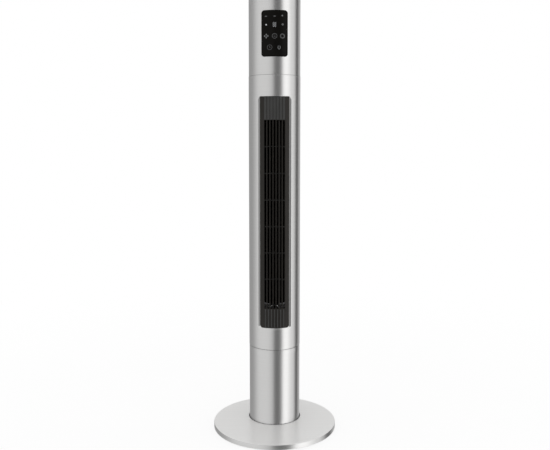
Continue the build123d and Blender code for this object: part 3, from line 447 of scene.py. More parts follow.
def sheet_tube(name, radius, bottom, top, patches):
    """Tube of sheet. A patch is (middle, half width) in degrees, with the rings of its window."""
    edge, soft, strips_per_radian, fewest_strips = 0.3, 0.09, 30, 8
    points, faces, turns = [], [], []
    low, high = bottom + edge, top - edge
    heights = np.linspace(high, low, UPRIGHT + 2 * ARC + 1 if patches else PATCH_STEPS + 1)

    def add(rows, ring):
        rows = np.asarray(rows)
        start = sum(len(block) for block in points)
        points.append(rows.reshape(-1, 3))
        faces.extend(quads(rows.shape[0], rows.shape[1], start, ring))

    for middle, half, window in patches:
        middle, half = radians(middle), radians(half)
        border = patch_border(half, low, high)
        rings = []
        for skin, edge_ring, order in ((radius, window[0], 1), (radius - SHEET, window[-1], -1)):
            reach = np.stack([np.arctan2(edge_ring[:, 0], -edge_ring[:, 1]), edge_ring[:, 2]], -1)
            parts = np.linspace(0, 1, PATCH_STEPS + 1)[:-1]
            steps = [(1 - part) * border + part * reach for part in parts]
            skins = [on_skin(skin, middle + step[:, 0], step[:, 1]) for step in steps]
            rings.append(skins[::order])
        turn = np.array([[cos(middle), sin(middle), 0], [-sin(middle), cos(middle), 0], [0, 0, 1]])
        pressed = [ring @ turn + (0, COLUMN_Y, 0) for ring in window]
        add([*rings[0], *pressed, *rings[1]], True)
        turns.append(middle + np.linspace(-half, half, LEVEL + 2 * ARC + 1))
    gaps = [(turns[i][-1], turns[(i + 1) % len(turns)][0]) for i in range(len(turns))] or [(0, 0)]
    for start, end in gaps:
        end += 2 * pi * (end <= start)
        strips = max(fewest_strips, round((end - start) * strips_per_radian))
        strip = np.linspace(start, end, strips + 1)
        for skin in (radius, radius - SHEET):
            add(on_skin(skin, strip[None, :], heights[:, None]), False)
        turns.append(strip)
    for strip in turns:
        for end, way in ((bottom, 1), (top, -1)):
            rim = ((0, edge), (soft, soft), (edge, 0), (SHEET, 0), (SHEET, edge))
            add([on_skin(radius - inset, strip, end + way * rise) for inset, rise in rim], False)
    mesh = mesh_from(name, np.concatenate(points), faces, column_steel)
    lay_grain(mesh, COLUMN_Y)
    return mesh


def tube_size(name):
    """Radius, bottom and top of a tube of the frame, in millimetres."""
    low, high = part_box(name)
    return (high.x - low.x) / 2 / MM, low.z / MM, high.z / MM


stand_radius, tube_bottom, tube_top = tube_size("stand_tube")
stand = sheet_tube("stand_skin", stand_radius, tube_bottom, tube_top, [])
add_piece(stand, "column", "brushed_steel", "stand_tube")

# %% Sleeve with the air outlet and the intake
sleeve_radius, tube_bottom, tube_top = tube_size("housing_sleeve")
outlet_half_width, outlet_bottom, outlet_top, outlet_corner, top_corner = 32.15, 232.5, 745.5, 5.5, 0.6
outlet = window_outline(outlet_half_width, outlet_bottom, outlet_top, outlet_corner, top_corner)
outlet_heights = outlet[0][:, 1]
top_blend, bottom_blend = 2, 3
near_top = np.interp(outlet_heights, (outlet_top - top_blend, outlet_top - top_corner), (0, 1))
near_bottom = np.interp(outlet_heights, (outlet_bottom, outlet_bottom + bottom_blend), (1, 0))


def round_the_outlet(side, top, bottom):
    """A size of the lip at each point of the outlet, from the size at its sides, top and bottom."""
    return side + (top - side) * near_top + (bottom - side) * near_bottom


lip_band = round_the_outlet(side=5.5, top=0.7, bottom=4)
lip_drop = round_the_outlet(side=3, top=0.4, bottom=1.5)
lip_depth, outlet_patch = 6, 62
outlet_rings = pressed_rings(sleeve_radius, outlet, lip_band, lip_drop, sleeve_radius - lip_depth, SHEET)

intake_half_width, intake_bottom, intake_top, intake_corner = 41, 240, 730, 8
intake_band, intake_drop, intake_patch = 0.4, 0.3, 64
intake = window_outline(intake_half_width, intake_bottom, intake_top, intake_corner)
intake_rings = pressed_rings(sleeve_radius, intake, intake_band, intake_drop, sleeve_radius - SHEET)
sleeve_patches = [(0, outlet_patch, outlet_rings), (180, intake_patch, intake_rings)]
sleeve = sheet_tube("sleeve_skin", sleeve_radius, tube_bottom, tube_top, sleeve_patches)
add_piece(sleeve, "column", "brushed_steel", "housing_sleeve")

# %% Head tube with the opening for the panel
head_radius, tube_bottom, tube_top = tube_size("head_tube")
panel_low, panel_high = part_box("control_panel")
panel_half_width, panel_bottom, panel_top = panel_high.x / MM, panel_low.z / MM, panel_high.z / MM
panel_corner, panel_gap, panel_patch = 6.5, 0.15, 48
panel_band, panel_drop, seam_overlap = 0.25, 0.2, 0.4
opening_ends = panel_bottom - panel_gap, panel_top + panel_gap
opening = window_outline(panel_half_width + panel_gap, *opening_ends, panel_corner)
panel_rings = pressed_rings(head_radius, opening, panel_band, panel_drop, head_radius - SHEET)
head_patches = [(0, panel_patch, panel_rings)]
head = sheet_tube("head_skin", head_radius, tube_bottom - seam_overlap, tube_top, head_patches)
add_piece(head, "column", "brushed_steel", "head_tube")

# %% [markdown]
# ## Cap and foot
# The top cap and the foot are turned shapes, so each is a stack of rings. The foot's rings move
# from one centre to another, because the column stands a little behind the middle of the foot: the
# inner rings go round the column and the outer ones round the foot. The small rounds at the edges
# are what catches the light. A boolean then bores the hole for the cord's gland in the rim. A ring
# of black rubber lies a little way down the well as painted shade: it stands in for the shadow in the gap
# round the column.

# %% Turned pieces
AROUND = 240


def ring_mesh(name, rings, finish, capped=False):
    """Mesh from rings that follow each other. It has flat ends, or its last ring meets the first."""
    rings = rings if capped else [*rings, rings[0]]
    count = len(rings[0])
    faces = quads(len(rings), count)
    if capped:
        last = (len(rings) - 1) * count
        faces += [tuple(range(count)), tuple(range(last, last + count))]
    return mesh_from(name, np.concatenate(rings), faces, finish)


def turned_piece(name, section, finish, axis_y, capped=False):
    """Mesh from the rings (middle y, radius, height) of a section, with its grain round an axis."""
    turns = np.arange(AROUND) * 2 * pi / AROUND
    rings = [
        np.stack([radius * np.sin(turns), middle - radius * np.cos(turns), 0 * turns + height], -1)
        for middle, radius, height in section
    ]
    mesh = ring_mesh(name, rings, finish, capped)
    lay_grain(mesh, axis_y)
    return mesh


def rounded_edge(middle, radius, height, size, start):
    """Rings over a rounded edge: a quarter turn about a point, from an angle in degrees."""
    angles = [radians(start + step * 15) for step in range(7)]
    return [(middle, radius + size * cos(angle), height + size * sin(angle)) for angle in angles]


low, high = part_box("top_cap")
cap_radius, cap_bottom, cap_top = high.x / MM, low.z / MM, high.z / MM
cap_sheet, cap_edge, spigot_radius, spigot_wall = 3, 1.2, 56.4, 3
cap_section = [
    (spigot_radius - spigot_wall, cap_top - cap_sheet),
    (spigot_radius - spigot_wall, cap_bottom),
    (spigot_radius, cap_bottom),
    (spigot_radius, cap_top - cap_sheet),
    (cap_radius, cap_top - cap_sheet),
]
top_rings = [(COLUMN_Y, radius, cap_top) for radius in (50, 35, 20, 6)]
cap_rings = [(COLUMN_Y, *spot) for spot in cap_section]
cap_rings += rounded_edge(COLUMN_Y, cap_radius - cap_edge, cap_top - cap_edge, cap_edge, 0) + top_rings
cap = turned_piece("cap_skin", cap_rings, foot_steel, COLUMN_Y, capped=True)
add_piece(cap, "column", "brushed_steel", "top_cap")

# %% Foot
low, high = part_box("base_cover")
foot_radius, foot_top, foot_bottom = high.x / MM, high.z / MM, low.z / MM
well_radius, well_lip, foot_sheet, foot_edge, foot_bevel = 59.2, 4.6, 1.2, 1, 0.2
well_bottom, under_top = foot_top - well_lip, foot_top - foot_sheet
face_start, face_width = well_radius + foot_edge, foot_radius - well_radius - 2 * foot_edge
face_rings = [
    (COLUMN_Y * (1 - part), face_start + part * face_width, foot_top)
    for part in (0.06, 0.25, 0.5, 0.75, 0.94)
]
foot_rings = [
    (COLUMN_Y, well_radius, well_bottom),
    *rounded_edge(COLUMN_Y, well_radius + foot_edge, foot_top - foot_edge, foot_edge, 90)[::-1],
    *face_rings,
    *rounded_edge(0, foot_radius - foot_edge, foot_top - foot_edge, foot_edge, 0)[::-1],
    (0, foot_radius, foot_bottom + foot_bevel),
    (0, foot_radius - foot_bevel, foot_bottom),
    (0, foot_radius - foot_sheet, foot_bottom),
    (0, foot_radius - foot_sheet, under_top),
    (COLUMN_Y, well_radius + foot_sheet, under_top),
    (COLUMN_Y, well_radius + foot_sheet, well_bottom),
]
foot = turned_piece("foot_skin", foot_rings, foot_steel, 0)
print("the foot is", 2 * foot_radius, "mm across before its gland hole is bored")

# %% Gland hole
gland_radius, gland_height, bore_length, bore_sides = 3.8, 6.9, 20, 32
bore_size = {"radius1": gland_radius * MM, "radius2": gland_radius * MM, "depth": bore_length * MM}
work = bmesh.new()
bmesh.ops.create_cone(work, cap_ends=True, segments=bore_sides, **bore_size)
bore = in_scene("bore", bpy.data.meshes.new("bore"))
work.to_mesh(bore.data)
work.free()
bore.location = (0, foot_radius * MM, gland_height * MM)
bore.rotation_euler = (pi / 2, 0, 0)
foot_piece = in_scene("foot_skin", foot)
drill = foot_piece.modifiers.new("drill", "BOOLEAN")
drill.object, drill.operation, drill.solver = bore, "DIFFERENCE", "EXACT"
keep_result(foot_piece, drill)
bpy.data.objects.remove(bore)
weld(foot_piece.data)
soften(foot_piece.data)
place(foot_piece, "base", "brushed_steel", "base_cover")

# %% Painted shade ring in the well
# A dark rubber ring stands in for the shadow in the gap round the column: painted shade.
gap_shade_radius, gap_shade_depth = 58.6, 1.4
gap_shade_rings = [
    (COLUMN_Y, gap_shade_radius, well_bottom),
    (COLUMN_Y, gap_shade_radius, foot_top - gap_shade_depth),
    (COLUMN_Y, well_radius, foot_top - gap_shade_depth),
    (COLUMN_Y, well_radius, well_bottom),
]
gap_shade = turned_piece("painted_gap_shade", gap_shade_rings, finishes["rubber"], COLUMN_Y)
add_piece(gap_shade, "base", "rubber")

# %% [markdown]
# ## Trees that repeat a shape
# Slats, ribs, bars, blades and screws are one shape, many times over. A Geometry Nodes tree is the
# right tool: its inputs are the sizes on the drawing, and a change of one number moves every copy.
# Each tree works in metres, ends in real faces with a material, and its result is kept as a plain
# mesh, because instances and live modifiers are lost when the fan is exported.

# %% Trees and their results


def new_tree(name, values):
    """Geometry tree with an input for each value, where a whole number is a count and any other a
    length. Gives the tree and its inputs."""
    tree = bpy.data.node_groups.new(name, "GeometryNodeTree")
    kinds = {"Seats": "Geometry", "Finish": "Material"}
    kinds |= {key: "Int" if isinstance(value, int) else "Float" for key, value in values.items()}
    for key, kind in kinds.items():
        tree.interface.new_socket(key, in_out="INPUT", socket_type="NodeSocket" + kind)
    tree.interface.new_socket("Geometry", in_out="OUTPUT", socket_type="NodeSocketGeometry")
    inputs = tree.nodes.new("NodeGroupInput").outputs
    return tree, {key: Output(tree, inputs[key]) for key in kinds}


def end_tree(tree, size, *parts):
    """Joins the parts, makes their instances real and gives them the finish."""
    joined = node(tree, "GeometryNodeJoinGeometry", {0: list(parts)})
    real = node(tree, "GeometryNodeRealizeInstances", {"Geometry": joined})
    dressed = node(tree, "GeometryNodeSetMaterial", {"Geometry": real, "Material": size["Finish"]})
    node(tree, "NodeGroupOutput", {0: dressed})
    print(tree.name, "has", len(tree.nodes), "nodes")


def grow(name, tree, finish, values, seats=None):
    """Runs a tree with these values, lengths in millimetres, and gives the piece with a plain mesh."""
    piece = in_scene(name, seats or bpy.data.meshes.new(name))
    growth = piece.modifiers.new("growth", "NODES")
    growth.node_group = tree
    settings = {key: value if isinstance(value, int) else value * MM for key, value in values.items()}
    settings["Finish"] = finish
    for socket in tree.interface.items_tree:
        if socket.name in settings:
            growth[socket.identifier] = settings[socket.name]
    keep_result(piece, growth)
    soften(piece.data)
    return piece


print("trees take sizes in millimetres")

# %% Shapes in a tree
TREE_WELD = 1e-6


def vector(x=0.0, y=0.0, z=0.0):
    """A vector of plain or linked numbers."""
    linked = [number for number in (x, y, z) if isinstance(number, Output)]
    return node(linked[0].tree, "ShaderNodeCombineXYZ", {0: x, 1: y, 2: z}) if linked else (x, y, z)


def moved(shape, **way):
    """A shape, moved along x, y and z."""
    return node(shape.tree, "GeometryNodeTransform", {"Geometry": shape, "Translation": vector(**way)})


def welded(*shapes):
    """Shapes that touch, as one."""
    tree = shapes[0].tree
    joined = node(tree, "GeometryNodeJoinGeometry", {0: list(shapes)})
    return node(tree, "GeometryNodeMergeByDistance", {0: joined, "Distance": TREE_WELD})


def raised(outline, height):
    """Solid over a flat shape: the shape goes up, its sides follow and its foot is closed."""
    lift = {"Mesh": outline, "Offset": vector(z=height), "Offset Scale": 1.0, "Individual": False}
    up = node(outline.tree, "GeometryNodeExtrudeMesh", lift, "Mesh")
    return welded(up, node(outline.tree, "GeometryNodeFlipFaces", {"Mesh": outline}))


def rounded_bar(width, depth, edge, height):
    """Upright bar with rounded edges. Its front is at y = 0 and it reaches back along +Y."""
    tree = width.tree
    flat = node(tree, "GeometryNodeCurvePrimitiveQuadrilateral", {"Width": width, "Height": depth})
    fillet = {"Curve": flat, "Radius": edge, "Count": 3, "Limit Radius": True}
    soft = node(tree, "GeometryNodeFilletCurve", fillet, mode="POLY")
    filled = node(tree, "GeometryNodeFillCurve", {"Curve": soft})
    return raised(moved(filled, y=depth * 0.5), height)


def reshaped(tree, steps, width, places):
    """Flat strip of a width in x and 1 in y, whose points are moved to other places."""
    strip = {"Size X": width, "Size Y": 1.0, "Vertices X": steps + 1, "Vertices Y": 2}
    grid = node(tree, "GeometryNodeMeshGrid", strip, "Mesh")
    return node(tree, "GeometryNodeSetPosition", {"Geometry": grid, "Position": places})


def row_of(count, start, step=(0, 0, 0)):
    """Points in a straight row."""
    row = {"Count": count, "Start Location": start, "Offset": step}
    return node(count.tree, "GeometryNodeMeshLine", row, mode="OFFSET")


def copies(points, shape, rotation=(0, 0, 0)):
    """The shape at every point."""
    made = {"Points": points, "Instance": shape, "Rotation": rotation}
    return node(points.tree, "GeometryNodeInstanceOnPoints", made)


print("shapes in a tree are welded within", TREE_WELD, "m")

# %% [markdown]
# ## Air outlet
# Upright slats stand side by side in a curved black insert. Each slat's front lies on the insert's
# curve, so its distance from the axis follows from its place in the row. The same tree makes the
# flat ribs of the panels above and below, which stand in line with the gaps between the slats.
# Level tie bars hold the slats from behind. The curved frame around them is made like the windows,
# as rings from one outline to another.

# %% Slat tree
face_radius, face_depth, slat_pitch, slat_width = 56.8, 3.2, 6.75, 2.45
slot_bottom, slot_top, slat_count, slat_overlap = 277.0, 694.0, 6, 0.5
slat_values = {
    "Count": slat_count,
    "Fan out": 0,
    "Pitch": slat_pitch,
    "Width": slat_width,
    "Depth": 11.0,
    "Edge": 0.7,
    "Bottom": slot_bottom - slat_overlap,
    "Height": slot_top - slot_bottom + 2 * slat_overlap,
    "Face radius": face_radius,
    "Column y": COLUMN_Y,
}
slat_tree, size = new_tree("upright_slats", slat_values)
start = (size["Count"] - 1.0) * size["Pitch"] * -0.5
row = row_of(size["Count"], vector(x=start, z=size["Bottom"]), vector(x=size["Pitch"]))
x, y, z = axes_of(node(slat_tree, "GeometryNodeInputPosition"))
front = (size["Face radius"] * size["Face radius"] - x * x).maths("SQRT")
to_face = {"Geometry": row, "Offset": vector(y=size["Column y"] - front)}
seats = node(slat_tree, "GeometryNodeSetPosition", to_face)
slat = rounded_bar(size["Width"], size["Depth"], size["Edge"], size["Height"])
turn = (x / size["Face radius"]).maths("ARCSINE") * size["Fan out"]
end_tree(slat_tree, size, copies(seats, slat, vector(z=turn)))

# %% Slats and panel ribs
slats = grow("outlet_slats", slat_tree, black_plastic, slat_values)
place(slats, "column", "black_plastic", "outlet_grille")
# The panel ribs take the lighter copy of the black plastic: painted light on the same moulding as the
# slats.
rib_gap = 1
rib_values = slat_values | {"Count": slat_count + 1, "Fan out": 1, "Depth": 1.8, "Edge": 0.3}
for name, rib_width, rib_relief, rib_low, rib_high in (
    ("lower_panel_ribs", 2.6, 0.9, outlet_bottom + rib_gap, slot_bottom - rib_gap),
    ("upper_panel_ribs", 5.7, 0.4, slot_top + rib_gap, outlet_top - rib_gap),
):
    rib_values |= {"Width": rib_width, "Face radius": face_radius + rib_relief}
    rib_values |= {"Bottom": rib_low, "Height": rib_high - rib_low}
    ribs = grow(name, slat_tree, painted_lit_plastic, rib_values)
    place(ribs, "column", "black_plastic", "outlet_grille")

# %% Tie bars
wheel_bottom, bar_reach = 282.7, 44.85
bar_values = {
    "Count": 7,
    "Length": (slat_count + 1) * slat_pitch,
    "Depth": 2.5,
    "Height": 2.4,
    "Spacing": 59.0,
    "First bar": wheel_bottom,
    "Back": COLUMN_Y - bar_reach,
}
bar_tree, size = new_tree("level_tie_bars", bar_values)
bar_box = vector(size["Length"], size["Depth"], size["Height"])
bar = node(bar_tree, "GeometryNodeMeshCube", {"Size": bar_box}, "Mesh")
row = row_of(size["Count"], vector(y=size["Back"], z=size["First bar"]), vector(z=size["Spacing"]))
end_tree(bar_tree, size, copies(row, bar))
# The tie bars take the lighter copy of the black plastic: painted light, so that they show as lit lines
# behind the slats.
tie_bars = grow("outlet_tie_bars", bar_tree, painted_lit_plastic, bar_values)
place(tie_bars, "column", "black_plastic", "outlet_grille")

# %% Curved frame of the outlet
EDGE_TURNS = (0, 30, 60, 90)


def over_edge(points, ways, radius, edge, angles, side=-1):
    """Rings over the rounded edge of an outline on a round face, one for each angle in degrees."""
    rings = []
    for angle in angles:
        inset, fall = edge * (1 - cos(radians(angle))), edge * (1 - sin(radians(angle)))
        rings.append(on_face(points - inset * ways, radius - fall, side))
    return rings


def curved_frame(name, outer, inner, radius, edge, side, skirt=0):
    """Frame on a round face between two outlines, with rounded edges. A skirt may reach behind it."""
    (outer_points, outer_ways), (inner_points, inner_ways) = outer, inner
    skirt_wall = 3
    skirt_points = outer_points - skirt_wall * outer_ways
    back = radius - face_depth
    rings = []
    if skirt:
        for x, z in (skirt_points.T, outer_points.T):
            rings.append(np.stack([x, 0 * x + COLUMN_Y + side * skirt, z], -1))
    else:
        rings.append(on_face(outer_points, back, side))
    rings += over_edge(outer_points, outer_ways, radius, edge, EDGE_TURNS, side)
    start = outer_points - edge * outer_ways
    for part in (0.15, 0.4, 0.7):
        rings.append(on_face(start + part * (inner_points - start), radius, side))
    rings += over_edge(inner_points, -inner_ways, radius, edge / 2, (90, 45, 0), side)
    rings.append(on_face(inner_points, back, side))
    if skirt:
        rings.append(on_face(skirt_points, back, side))
    return ring_mesh(name, rings, black_plastic)


grille_gap, slot_corner, grille_edge, flange_back = 0.2, 0.5, 0.6, 31
grille_ends = outlet_bottom + grille_gap, outlet_top - grille_gap
grille_outline = window_outline(
    outlet_half_width - grille_gap, *grille_ends, outlet_corner - grille_gap, top_corner
)
slot_half_width = (slat_count + 1) * slat_pitch / 2 - slat_width / 2
slot_outline = window_outline(slot_half_width, slot_bottom, slot_top, slot_corner)
outlet_frame = curved_frame(
    "outlet_frame", grille_outline, slot_outline, face_radius, grille_edge, -1, skirt=flange_back
)
add_piece(outlet_frame, "column", "black_plastic", "outlet_grille")

# %% [markdown]
# ## Intake at the back
# Air comes in through a lattice of upright bars that are crossed by level ribs, on the inside of
# the sleeve's rear window. The bars follow a circle, so the tree turns each copy about the column's
# axis. A rib is a flat strip of grid that is bent round the axis and raised.

# %% Lattice tree
intake_radius, intake_border, intake_overlap, bar_overlap = 56.8, 9, 5, 0.5
slot_count, slot_turn, slot_width = 13, 6.6, 4.2
bar_arc = radians(slot_turn) * intake_radius
lattice_values = {
    "Bars": slot_count - 1,
    "Ribs": 7,
    "Width": bar_arc - slot_width,
    "Radius": intake_radius,
    "Depth": face_depth,
    "Edge": 0.6,
    "Bottom": intake_bottom + intake_border - bar_overlap,
    "Height": intake_top - intake_bottom - 2 * intake_border + 2 * bar_overlap,
    "Column y": COLUMN_Y,
    "Rib height": 3.2,
    "Bar arc": bar_arc,
}
lattice_tree, size = new_tree("curved_lattice", lattice_values)
bar_turn = size["Bar arc"] / size["Radius"]
turn = (node(lattice_tree, "GeometryNodeInputIndex") - (size["Bars"] - 1.0) * 0.5) * bar_turn
bar = rounded_bar(size["Width"], size["Depth"], size["Edge"], size["Height"])
bar = moved(bar, y=size["Radius"] - size["Depth"])
axis_row = row_of(size["Bars"], vector(y=size["Column y"], z=size["Bottom"]))
bars = copies(axis_row, bar, vector(z=turn))

rib_sweep, rib_back = 0.54, 0.6
x, y, z = axes_of(node(lattice_tree, "GeometryNodeInputPosition"))
bend = x * (size["Bars"] * bar_turn * rib_sweep)
reach = size["Radius"] - size["Depth"] * (rib_back - y)
bent = vector(reach * bend.maths("SINE"), size["Column y"] + reach * bend.maths("COSINE"))
strip = reshaped(lattice_tree, steps=40, width=2.0, places=bent)
rib = raised(node(lattice_tree, "GeometryNodeFlipFaces", {"Mesh": strip}), size["Rib height"])
rib_step = size["Height"] / (size["Ribs"] + 1.0)
rib_start = size["Bottom"] + (rib_step - size["Rib height"] * 0.5)
ribs = copies(row_of(size["Ribs"], vector(z=rib_start), vector(z=rib_step)), rib)
end_tree(lattice_tree, size, bars, ribs)

# %% Lattice and its frame
lattice = grow("intake_lattice", lattice_tree, black_plastic, lattice_values)
place(lattice, "column", "black_plastic", "intake_grille")

last_slot, slot_slant = radians((slot_count - 1) / 2 * slot_turn), 0.75
field_half_width = intake_radius * sin(last_slot) + slot_width / 2 * slot_slant
field_ends = intake_bottom + intake_border, intake_top - intake_border
field_outline = window_outline(field_half_width, *field_ends, slot_corner)
frame_corner, frame_edge = 3, 0.4
frame_ends = intake_bottom - intake_overlap, intake_top + intake_overlap
frame_outline = window_outline(intake_half_width + intake_overlap, *frame_ends, frame_corner)
intake_frame = curved_frame("intake_frame", frame_outline, field_outline, intake_radius, frame_edge, 1)
add_piece(intake_frame, "column", "black_plastic", "intake_grille")

# %% [markdown]
# ## Impeller
# The wheel behind the slats is a long cage of curved blades, held by thin discs. One blade is a
# narrow grid whose points are moved to a radius and an angle, so that it leans and curves, and is
# then raised to the length of the wheel. A disc is a longer grid that is bent all the way round.
# The tree turns the blades round the axis, stacks the discs and adds hubs.

# %% Blades and discs of the impeller
cage_values = {
    "Blades": 26,
    "Discs": 8,
    "Inner": 22.0,
    "Outer": 29.4,
    "Thickness": 0.9,
    "Bottom": wheel_bottom,
    "Length": 413.0,
    "Axis y": 33.0,
    "Disc radius": 30.0,
    "Disc hole": 20.0,
    "Disc height": 2.0,
    "Motor hub radius": 9.0,
    "Motor hub bottom": 274.5,
    "Motor hub length": 23.2,
    "Stub hub radius": 8.0,
    "Stub hub length": 15.0,
}
cage_tree, size = new_tree("blade_cage", cage_values)
lean, bulge = radians(16), radians(2.2)
x, y, z = axes_of(node(cage_tree, "GeometryNodeInputPosition"))


def round_axis(reach, angle):
    """Place at a distance from the axis, in the way of an angle."""
    return vector(reach * angle.maths("COSINE"), reach * angle.maths("SINE"))


along = x + 0.5
reach = size["Inner"] + along * (size["Outer"] - size["Inner"])
angle = along * lean - along * (1.0 - along) * (4 * bulge) + y * (size["Thickness"] / reach)
flat_blade = reshaped(cage_tree, steps=5, width=1.0, places=round_axis(reach, angle))
blade = raised(flat_blade, size["Length"])
turn = node(cage_tree, "GeometryNodeInputIndex") * (2 * pi) / size["Blades"]
axis_row = row_of(size["Blades"], vector(y=size["Axis y"], z=size["Bottom"]))
blades = copies(axis_row, blade, vector(z=turn))

reach = size["Disc hole"] + (y + 0.5) * (size["Disc radius"] - size["Disc hole"])
flat_disc = reshaped(cage_tree, steps=60, width=1.0, places=round_axis(reach, x * (-2 * pi)))
disc = raised(welded(flat_disc), size["Disc height"])
half_disc = size["Disc height"] * 0.5
disc_bottom = size["Bottom"] - half_disc
disc_step = size["Length"] / (size["Discs"] - 1.0)
disc_row = row_of(size["Discs"], vector(y=size["Axis y"], z=disc_bottom), vector(z=disc_step))
discs = copies(disc_row, disc)
print("the impeller has", cage_values["Blades"], "blades and", cage_values["Discs"], "discs")

# %% Hubs of the impeller
hub_sides, hub_overlap = 40, 0.5 * MM


def hub(radius, bottom, length):
    """Solid round at the axis."""
    turned = {"Vertices": hub_sides, "Radius": radius, "Depth": length}
    solid = node(cage_tree, "GeometryNodeMeshCylinder", turned, "Mesh")
    return moved(solid, y=size["Axis y"], z=bottom + length * 0.5)


wheel_top = size["Bottom"] + size["Length"]
plate_radius = size["Disc hole"] + hub_overlap
hubs = [
    hub(size["Motor hub radius"], size["Motor hub bottom"], size["Motor hub length"]),
    hub(size["Stub hub radius"], wheel_top - size["Stub hub length"], size["Stub hub length"]),
    hub(plate_radius, disc_bottom, size["Disc height"]),
    hub(plate_radius, wheel_top - half_disc, size["Disc height"]),
]
end_tree(cage_tree, size, blades, discs, *hubs)
cage = grow("impeller_cage", cage_tree, black_plastic, cage_values)
place(cage, "impeller", "black_plastic", "impeller")

# %% [markdown]
# ## Screws and rubber feet
# Pan-head screws hold the tubes at the back, and flat ones hold the pan under the foot. A tree takes
# points as seats, each with the way that it faces, and stands a screw on every one. The head is a
# short cylinder under a cone, with a crossed recess cut out of it. The fan rests on rubber pucks
# with a bevelled edge and a peg, which a second tree makes in the same way.

# %% Screw tree
pan_head = {"Head radius": 3.6, "Head height": 1.9, "Shank radius": 2.0, "Length": 4.7}
screw_tree, size = new_tree("crossed_screws", pan_head)


def cone(low_radius, high_radius, low, height, sides=28, drop=None):
    """Short cone from a height up, without the end that drop names."""
    tree = low_radius.tree
    made = tree.nodes.new("GeometryNodeMeshCone")
    sizes = {"Vertices": sides, "Radius Top": high_radius, "Radius Bottom": low_radius, "Depth": height}
    connect(made, sizes)
    shape = Output(tree, made.outputs["Mesh"])
    if drop:
        cut = {"Geometry": shape, "Selection": Output(tree, made.outputs[drop])}
        shape = node(tree, "GeometryNodeDeleteGeometry", cut, domain="FACE")
    return moved(shape, z=low)


wide, tall, shank_radius = size["Head radius"], size["Head height"], size["Shank radius"]
shoulder, crown = tall * 0.6, wide * 0.72
head_shape = welded(
    cone(wide, wide, 0.0, shoulder, drop="Top"),
    cone(wide, crown, shoulder, tall - shoulder, drop="Bottom"),
)
long, thin = wide * 1.15, wide * 0.3
recess = []
for across in ((long, thin), (thin, long)):
    block = node(screw_tree, "GeometryNodeMeshCube", {"Size": vector(*across, tall)}, "Mesh")
    recess.append(moved(block, z=tall))
cut = {"Mesh 1": head_shape, "Mesh 2": recess}
crossed = node(screw_tree, "GeometryNodeMeshBoolean", cut, operation="DIFFERENCE", solver="EXACT")
shank = cone(shank_radius, shank_radius, size["Length"] * -1.0, size["Length"])
seat_way = {"Name": "facing"}
facing = node(screw_tree, "GeometryNodeInputNamedAttribute", seat_way, data_type="FLOAT_VECTOR")
stand_up = node(screw_tree, "FunctionNodeAlignRotationToVector", {"Vector": facing}, axis="Z")
end_tree(screw_tree, size, copies(size["Seats"], welded(crossed, shank), stand_up))

# %% Screws at the back


def seats_at(name, seats):
    """Seat points (place, way out) as a mesh for a tree."""
    mesh = bpy.data.meshes.new(name)
    mesh.from_pydata([[value * MM for value in spot] for spot, way in seats], [], [])
    facing = mesh.attributes.new("facing", "FLOAT_VECTOR", "POINT")
    facing.data.foreach_set("vector", [value for spot, way in seats for value in way])
    return mesh


def round_the_back(angles, rows):
    """Seats on the column's skin, at angles from +X and at rows of (radius, height)."""
    seats = []
    for radius, height in rows:
        for angle in angles:
            way = (cos(radians(angle)), sin(radians(angle)), 0)
            seats.append(((radius * way[0], COLUMN_Y + radius * way[1], height), way))
    return seats


back_angles = (55, 90, 125)
screw_groups = {
    "turntable_screws": (back_angles, [(stand_radius, 23)]),
    "joint_screws": (back_angles, [(stand_radius, 169), (sleeve_radius, 197)]),
    "head_screws": (back_angles, [(sleeve_radius, 778), (head_radius, 806)]),
    "cap_screws": (back_angles, [(head_radius, 950.8)]),
    "intake_screws": ((39.5, 140.5), [(sleeve_radius, height) for height in (248, 485, 722)]),
}
for name, (angles, rows) in screw_groups.items():
    seats = seats_at(name, round_the_back(angles, rows))
    group = grow(name.replace("screws", "screw_heads"), screw_tree, screw_steel, pan_head, seats)
    place(group, "column", "screw_steel", name)

# %% Pan screws and rubber feet


def under_foot(name, radius, height, first, way):
    """Six seats on a circle under the foot, from an angle in degrees."""
    turns = [radians(first + 60 * step) for step in range(6)]
    return seats_at(name, [((radius * cos(turn), radius * sin(turn), height), way) for turn in turns])


pan_seats = under_foot("pan_seats", radius=98, height=3, first=0, way=(0, 0, -1))
flat_head = {"Head radius": 3.5, "Head height": 1.5, "Shank radius": 2.0, "Length": 4.0}
pan_group = grow("pan_screw_heads", screw_tree, screw_steel, flat_head, pan_seats)
place(pan_group, "base", "screw_steel", "pan_screws")

puck_values = {"Radius": 10.0, "Height": 1.5, "Edge": 0.5, "Peg radius": 4.0, "Peg height": 1.5}
puck_tree, size = new_tree("rubber_pucks", puck_values)
radius, edge, peg_radius = size["Radius"], size["Edge"], size["Peg radius"]
puck = welded(
    cone(radius - edge, radius, 0.0, edge, sides=40, drop="Top"),
    cone(radius, radius, edge, size["Height"] - edge, sides=40, drop="Bottom"),
)
peg = cone(peg_radius, peg_radius, size["Height"], size["Peg height"], sides=24)
end_tree(puck_tree, size, copies(size["Seats"], welded(puck, peg)))
puck_seats = under_foot("puck_seats", radius=118, height=0, first=30, way=(0, 0, 1))
pucks = grow("rubber_pucks", puck_tree, finishes["rubber"], puck_values, puck_seats)
place(pucks, "base", "rubber", "rubber_feet")

# %% [markdown]
# ## Touch panel
# The panel is one sheet of smoked acrylic, bent to the head's curve and let into it. It is nearly
# black and glossy, but it mirrors little, because its face is slightly etched. The signs are
# small lit marks in it: a row of three faint ones, a two-figure display between two lamps, and five
# keys. They are thin strips that are bent with the panel, and an attribute on each mark says how
# brightly it is lit.

